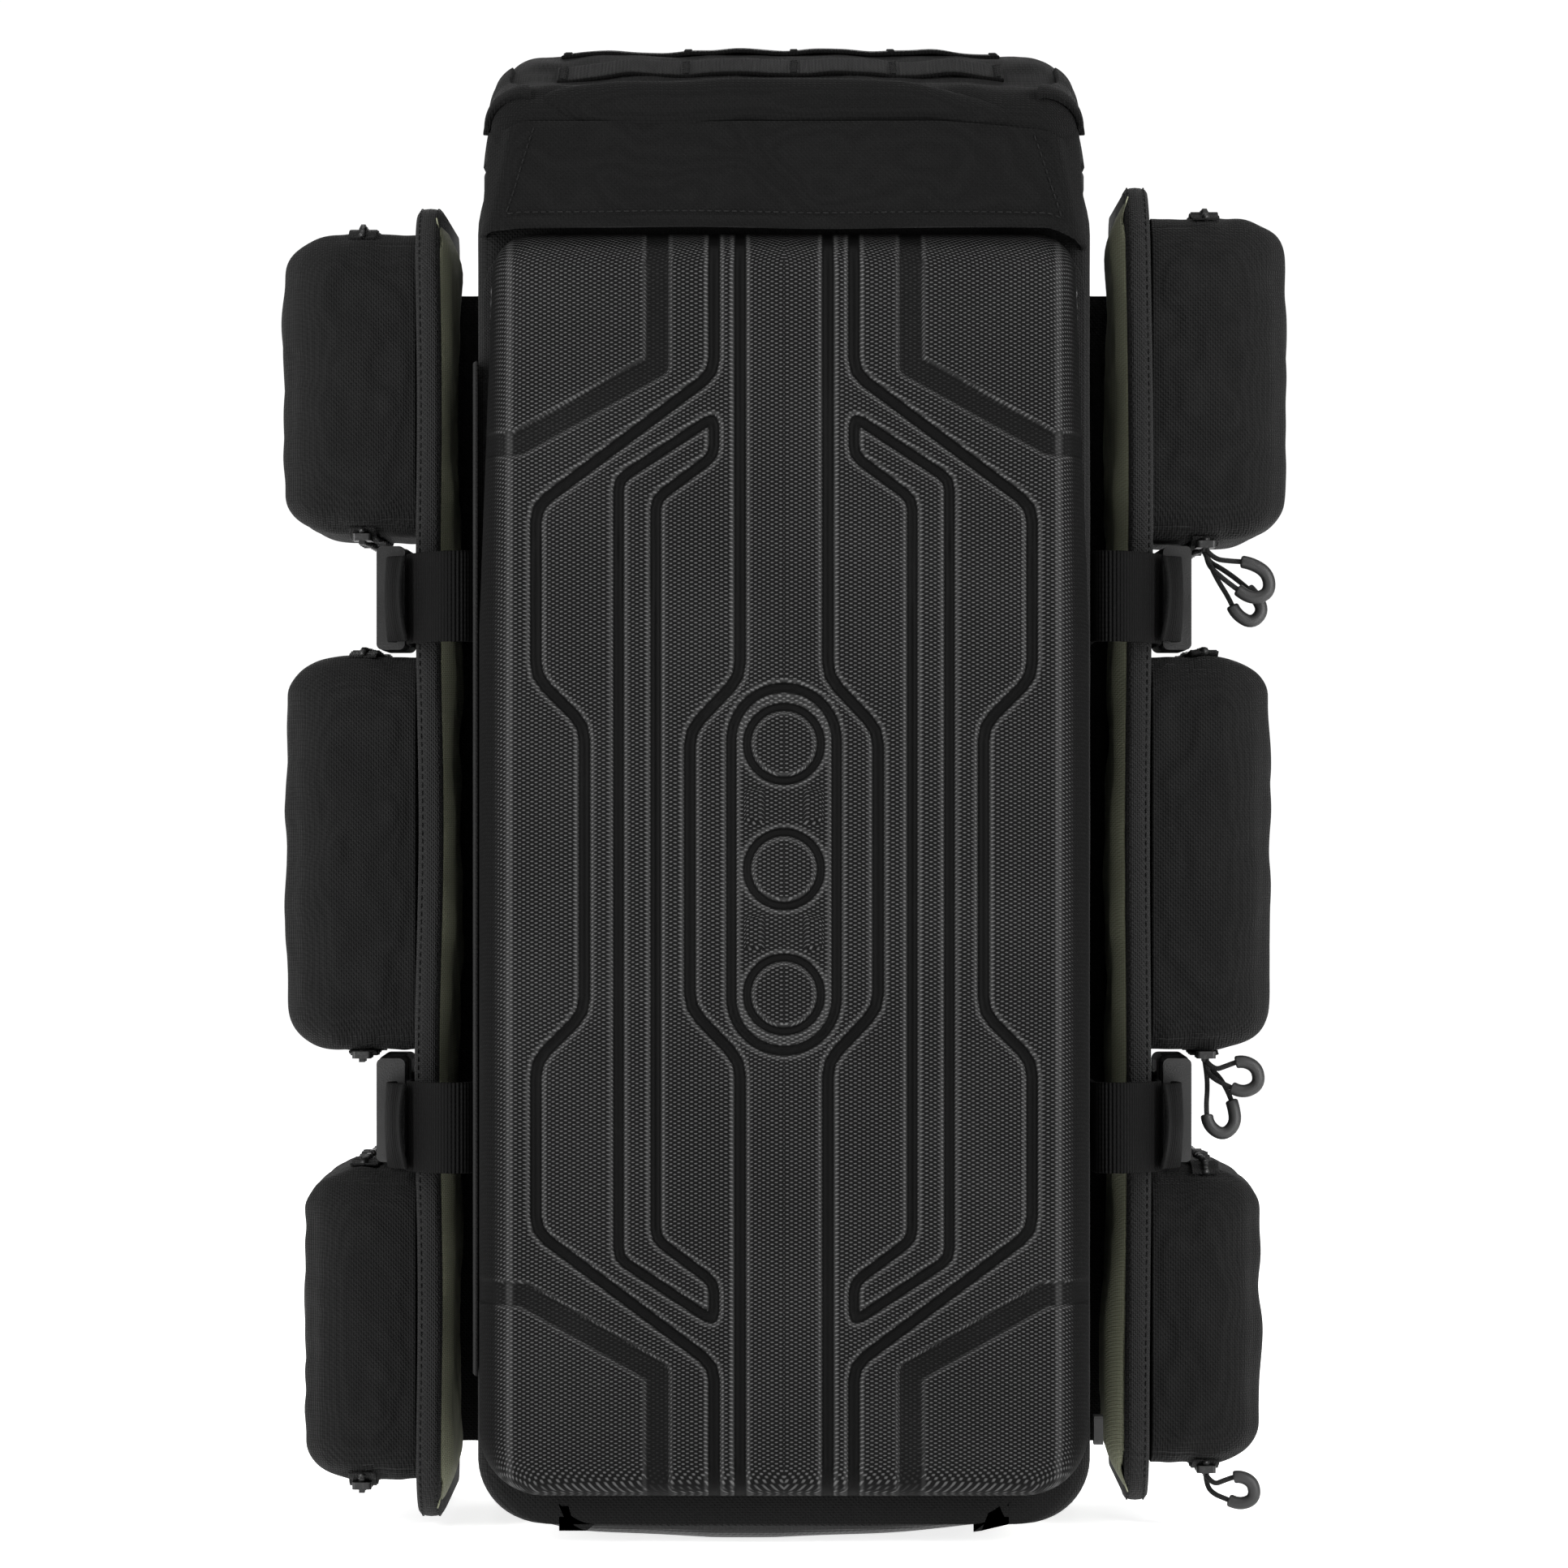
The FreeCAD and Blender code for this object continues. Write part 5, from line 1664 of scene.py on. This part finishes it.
for side, way in SIDES:
    middle = way * STRAP_AT
    run = upright_line(HARNESS_LINE, 170, middle)
    pad = sweep("shoulder_strap_%s_pad" % side, run, strap_section(57 * MM, 11 * MM), (1, 0, 0))
    places = corners(pad)
    near = np.array([np.linalg.norm(run - p, axis=1).argmin() for p in places])
    t = near / (len(run) - 1)
    narrow = strap_narrowing(t)
    spread = 1 + 0.07 * ripple(t * 400, places[:, 0] / MM, 60, 91)
    places[:, 0] = middle * MM + (places[:, 0] - middle * MM) * narrow
    places[:, 1:] = run[near, 1:] + (places[:, 1:] - run[near, 1:]) * np.minimum(spread, 1.08)[:, None]
    move_corners(pad, places)
    for face in pad.data.polygons:
        towards = WEARER - np.array(face.center)[1:]
        look = np.array(face.normal)[1:]
        face.material_index = int(np.dot(towards / np.linalg.norm(towards), look) > 0.25)
    keep = [face.material_index for face in pad.data.polygons]
    hand_in(pad, "root", [FABRIC, MESH], "mesh_pad", "shoulder_strap_" + side)
    pad.data.polygons.foreach_set("material_index", keep)
    t = np.linspace(0, 1, len(run))
    half = 28.5 * strap_narrowing(t)
    for edge_way, word in ((-1, "inner"), (1, "outer")):
        edge = run + np.column_stack([way * edge_way * half * MM, np.zeros((len(run), 2))])
        cord = sweep("shoulder_strap_%s_%s_binding" % (side, word), edge, rounded_bar(3.2 * MM, 4.6 * MM, 1.2 * MM),
                     (1, 0, 0))
        hand_in(cord, "root", BINDING, "zip_tape")
    normal = np.gradient(run, axis=0)
    normal = unit(np.column_stack([np.zeros(len(run)), -normal[:, 2], normal[:, 1]]))
    normal *= -np.sign((normal[:, 1:] * (WEARER - run[:, 1:])).sum(axis=1))[:, None]
    bow = np.abs(np.sin(np.linspace(0, 6 * math.pi, len(run)))) ** 0.7
    ladder = run + normal * ((6.3 + 1.4 * bow) * MM)[:, None]
    band = webbing_band("shoulder_ladder_" + side, ladder[8:-8], (1, 0, 0), 20 * MM, 1.6 * MM, 8)
    hand_webbing(band, "root")

# %% Harness: lower webbing, chest strap, haul loop
HARNESS_WEB = [(128, 238), (124, 190), (117, 110), (110.8, 48), (101, 35), (94.2, 22)]
for side, way in SIDES:
    run = upright_line(HARNESS_WEB, 110, way * STRAP_AT)
    band = webbing_band("lower_webbing_" + side, run, (1, 0, 0), 25 * MM, 1.6 * MM, 10)
    hand_webbing(band, "root", *(["strap_webbing"] if side == "left" else []))
    ahead = run[0] - run[4]
    ahead /= np.linalg.norm(ahead)
    up = np.array([run[0] - ahead * 2 * MM, run[0] + ahead * 10 * MM, run[0] + ahead * 19 * MM])
    link = webbing_band("lock_webbing_" + side, even(up, 12) + (0, 0.0004, 0), (1, 0, 0), 24 * MM, 1.6 * MM, 10)
    hand_webbing(link, "root")
    bow = np.linspace(0, math.pi, 40)
    chest = np.column_stack([way * np.linspace(91, 20, 40), 143.6 + 0.8 * np.sin(bow * 2), np.full(40, 430.0)])
    band = webbing_band("chest_strap_" + side, chest * MM, (0, 0, 1), 20 * MM, 1.5 * MM, 8)
    hand_webbing(band, "root", *(["sternum_strap"] if side == "left" else []))


def clip_shape(q, spot, turn):
    waist = 1 - 0.14 * np.cos(np.clip(spot[:, 0] / 19.5, -1, 1) * math.pi) * (np.abs(q[:, 2]) > 0.9)
    spot[:, 2] *= np.clip(waist, 0.84, 1.0)
    dish = (q[:, 1] > 0.99) * np.clip(1 - (np.abs(spot[:, 0]) / 13) ** 6, 0, 1) * (np.abs(spot[:, 2]) < 9)
    spot[:, 1] -= 1.6 * dish
    return spot


chest_clip = block("chest_buckle", (-19.5, 140.7, 416.5), (19.5, 150.3, 443.5), (2.6, 2.6, 2.6), 28, clip_shape)
hand_in(chest_clip, "root", ACETAL, "buckle_plastic", angle=45)

HAUL_POINTS = [(-64, 93.3), (-46, 93.3), (-36, 108), (-18, 118), (18, 118), (36, 108), (46, 93.3), (64, 93.3)]
haul_run = level_line(HAUL_POINTS, 120, 1, 548.5)
haul = webbing_band("haul_webbing", haul_run * MM, (0, 0, 1), 25 * MM, 2.2 * MM, 10)
hand_webbing(haul, "root", "haul_handle")
grip_run = haul_run[(np.abs(haul_run[:, 0]) < 24)] * MM
grip = sweep("haul_grip", grip_run, rounded_bar(23 * MM, 5.2 * MM, 2.2 * MM), (0, 0, 1))
hand_in(grip, "root", BINDING, "webbing")
patch = block("haul_patch", (-70, 92.1, 532), (70, 93.1, 565), (4, 0.5, 4), 12)
hand_in(patch, "root", FABRIC, "pack_fabric")

# %% [markdown]
# The back pads are foam under air mesh, with grooves pressed across them so that they bend and breathe. Each is a
# divided block that crowns between its seams.

# %% Harness: back pads
def pad_shape(low, high, grooves):
    middle = (np.array(low) + np.array(high)) / 2
    half = (np.array(high) - np.array(low)) / 2

    def shape(q, spot, turn):
        x, z = spot[:, 0], spot[:, 2]
        crown = np.clip(1 - (x / half[0]) ** 2, 0, 1) ** 0.5 * np.clip(1 - (z / half[2]) ** 2, 0, 1) ** 0.5
        dent = sum(np.exp(-((z + middle[2] - g) / 3.4) ** 2) for g in grooves)
        rear = q[:, 1] > 0.99
        spot[:, 1] += np.where(rear, 3.0 * crown - 1.6 - 5.0 * dent * np.clip(crown * 3, 0, 1)
                               + 0.3 * ripple(x, z, 30, 95), 0)
        return spot
    return shape


pads = []
for low, high, grooves in (((-110, 92.2, 196), (-18, 108, 492), (270, 344, 418)),
                           ((18, 92.2, 196), (110, 108, 492), (270, 344, 418)),
                           ((-108, 92.2, 46), (108, 108, 180), (91, 135))):
    pad = block("pad", low, high, (16, 6, 16), 46, pad_shape(low, high, grooves))
    pads.append(pad)
back = join("back_pads_mesh", pads)
hand_in(back, "root", MESH, "mesh_pad", "back_pads")
for number, (low, high) in enumerate((((-110, 196), (-18, 492)), ((18, 196), (110, 492)), ((-108, 46), (108, 180)))):
    line = rectangle_line((low[0] - 1.5) * MM, (high[0] + 1.5) * MM, (low[1] - 1.5) * MM, (high[1] + 1.5) * MM,
                          0.016, 0.0932, 260)
    hand_in(sweep("pad_binding_%d" % (number + 1), line, round_section(1.6 * MM, 8), (0, 1, 0), closed=True), "root",
            BINDING, "zip_tape")

# %% [markdown]
# ## Hard parts
# Buckles, sliders, ladder locks, the frame sheet and its stays already have their true shape in the frame, so
# they stay and only get their finish.

# %% Hard parts: finishes
KEPT = {"frame_sheet": SHEET, "frame_stays": ALUMINIUM, "ladder_locks": ACETAL, "front_zip_slider": PAINTED}
for node in frame["nodes"]:
    if node.startswith("buckle_"):
        KEPT[node] = ACETAL
    if node.startswith("zip_sliders_"):
        KEPT[node] = PAINTED
for node, finish in KEPT.items():
    kept = frame["nodes"][node]
    for slot in kept.material_slots:
        slot.material = finish
    if not kept.material_slots:
        kept.data.materials.append(finish)
print(len(KEPT), "frame parts got their finish")

# %% [markdown]
# ## The studio
# The pack is nearly black on white, so it needs broad soft lights from both sides and from above.

# %% Studio
PAPER_GLOW = 0.78
BACKDROP = 1.05


def studio():
    clear()
    bpy.ops.mesh.primitive_plane_add(size=14, location=(0, 0, -0.0005))
    floor = named("studio_floor")
    paper = Finish("studio_paper", Roughness=0.9, Emission_Color=(1, 1, 1, 1), Emission_Strength=PAPER_GLOW)
    grain = paper.noise(paper.place(), 40.0)
    paper.colour(paper.mix(grain, grey(0.86), grey(0.9)))
    floor.data.materials.append(paper.material)
    world = bpy.data.worlds.new("studio_world")
    bpy.context.scene.world = world
    world.use_nodes = True
    tree = world.node_tree
    seen = tree.nodes["Background"]
    seen.inputs[1].default_value = BACKDROP
    lit = tree.nodes.new("ShaderNodeBackground")
    for background in (seen, lit):
        background.inputs[0].default_value = (1, 1, 1, 1)
    lit.inputs[1].default_value = SKY
    path = tree.nodes.new("ShaderNodeLightPath")
    either = tree.nodes.new("ShaderNodeMixShader")
    tree.links.new(path.outputs["Is Camera Ray"], either.inputs[0])
    tree.links.new(lit.outputs[0], either.inputs[1])
    tree.links.new(seen.outputs[0], either.inputs[2])
    tree.links.new(either.outputs[0], tree.nodes["World Output"].inputs[0])
    bpy.context.scene.view_settings.view_transform = "Standard"
    for name, spot, aim, power, wide, high in LIGHTS:
        clear()
        bpy.ops.object.light_add(type="AREA", location=spot)
        lamp = named(name)
        lamp.data.shape = "RECTANGLE"
        lamp.data.size = wide
        lamp.data.size_y = high
        lamp.data.energy = power
        way = np.array(aim) - np.array(spot)
        flat = math.hypot(way[0], way[1])
        lamp.rotation_euler = (math.atan2(flat, -way[2]), 0, math.atan2(way[1], way[0]) - math.pi / 2)


SKY = 0.32
LIGHTS = [("left_box", (-1.35, -1.15, 0.6), (0, 0, 0.33), 40, 0.45, 1.6),
          ("right_box", (1.35, -1.15, 0.6), (0, 0, 0.33), 40, 0.45, 1.6),
          ("top_box", (0, -0.6, 2.0), (0, 0, 0.4), 14, 1.4, 0.6),
          ("front_fill", (0, -2.9, 2.0), (0, 0, 0.3), 8, 2.0, 1.0),
          ("back_fill", (0, 2.6, 1.4), (0, 0, 0.3), 26, 2.0, 1.2)]
studio()
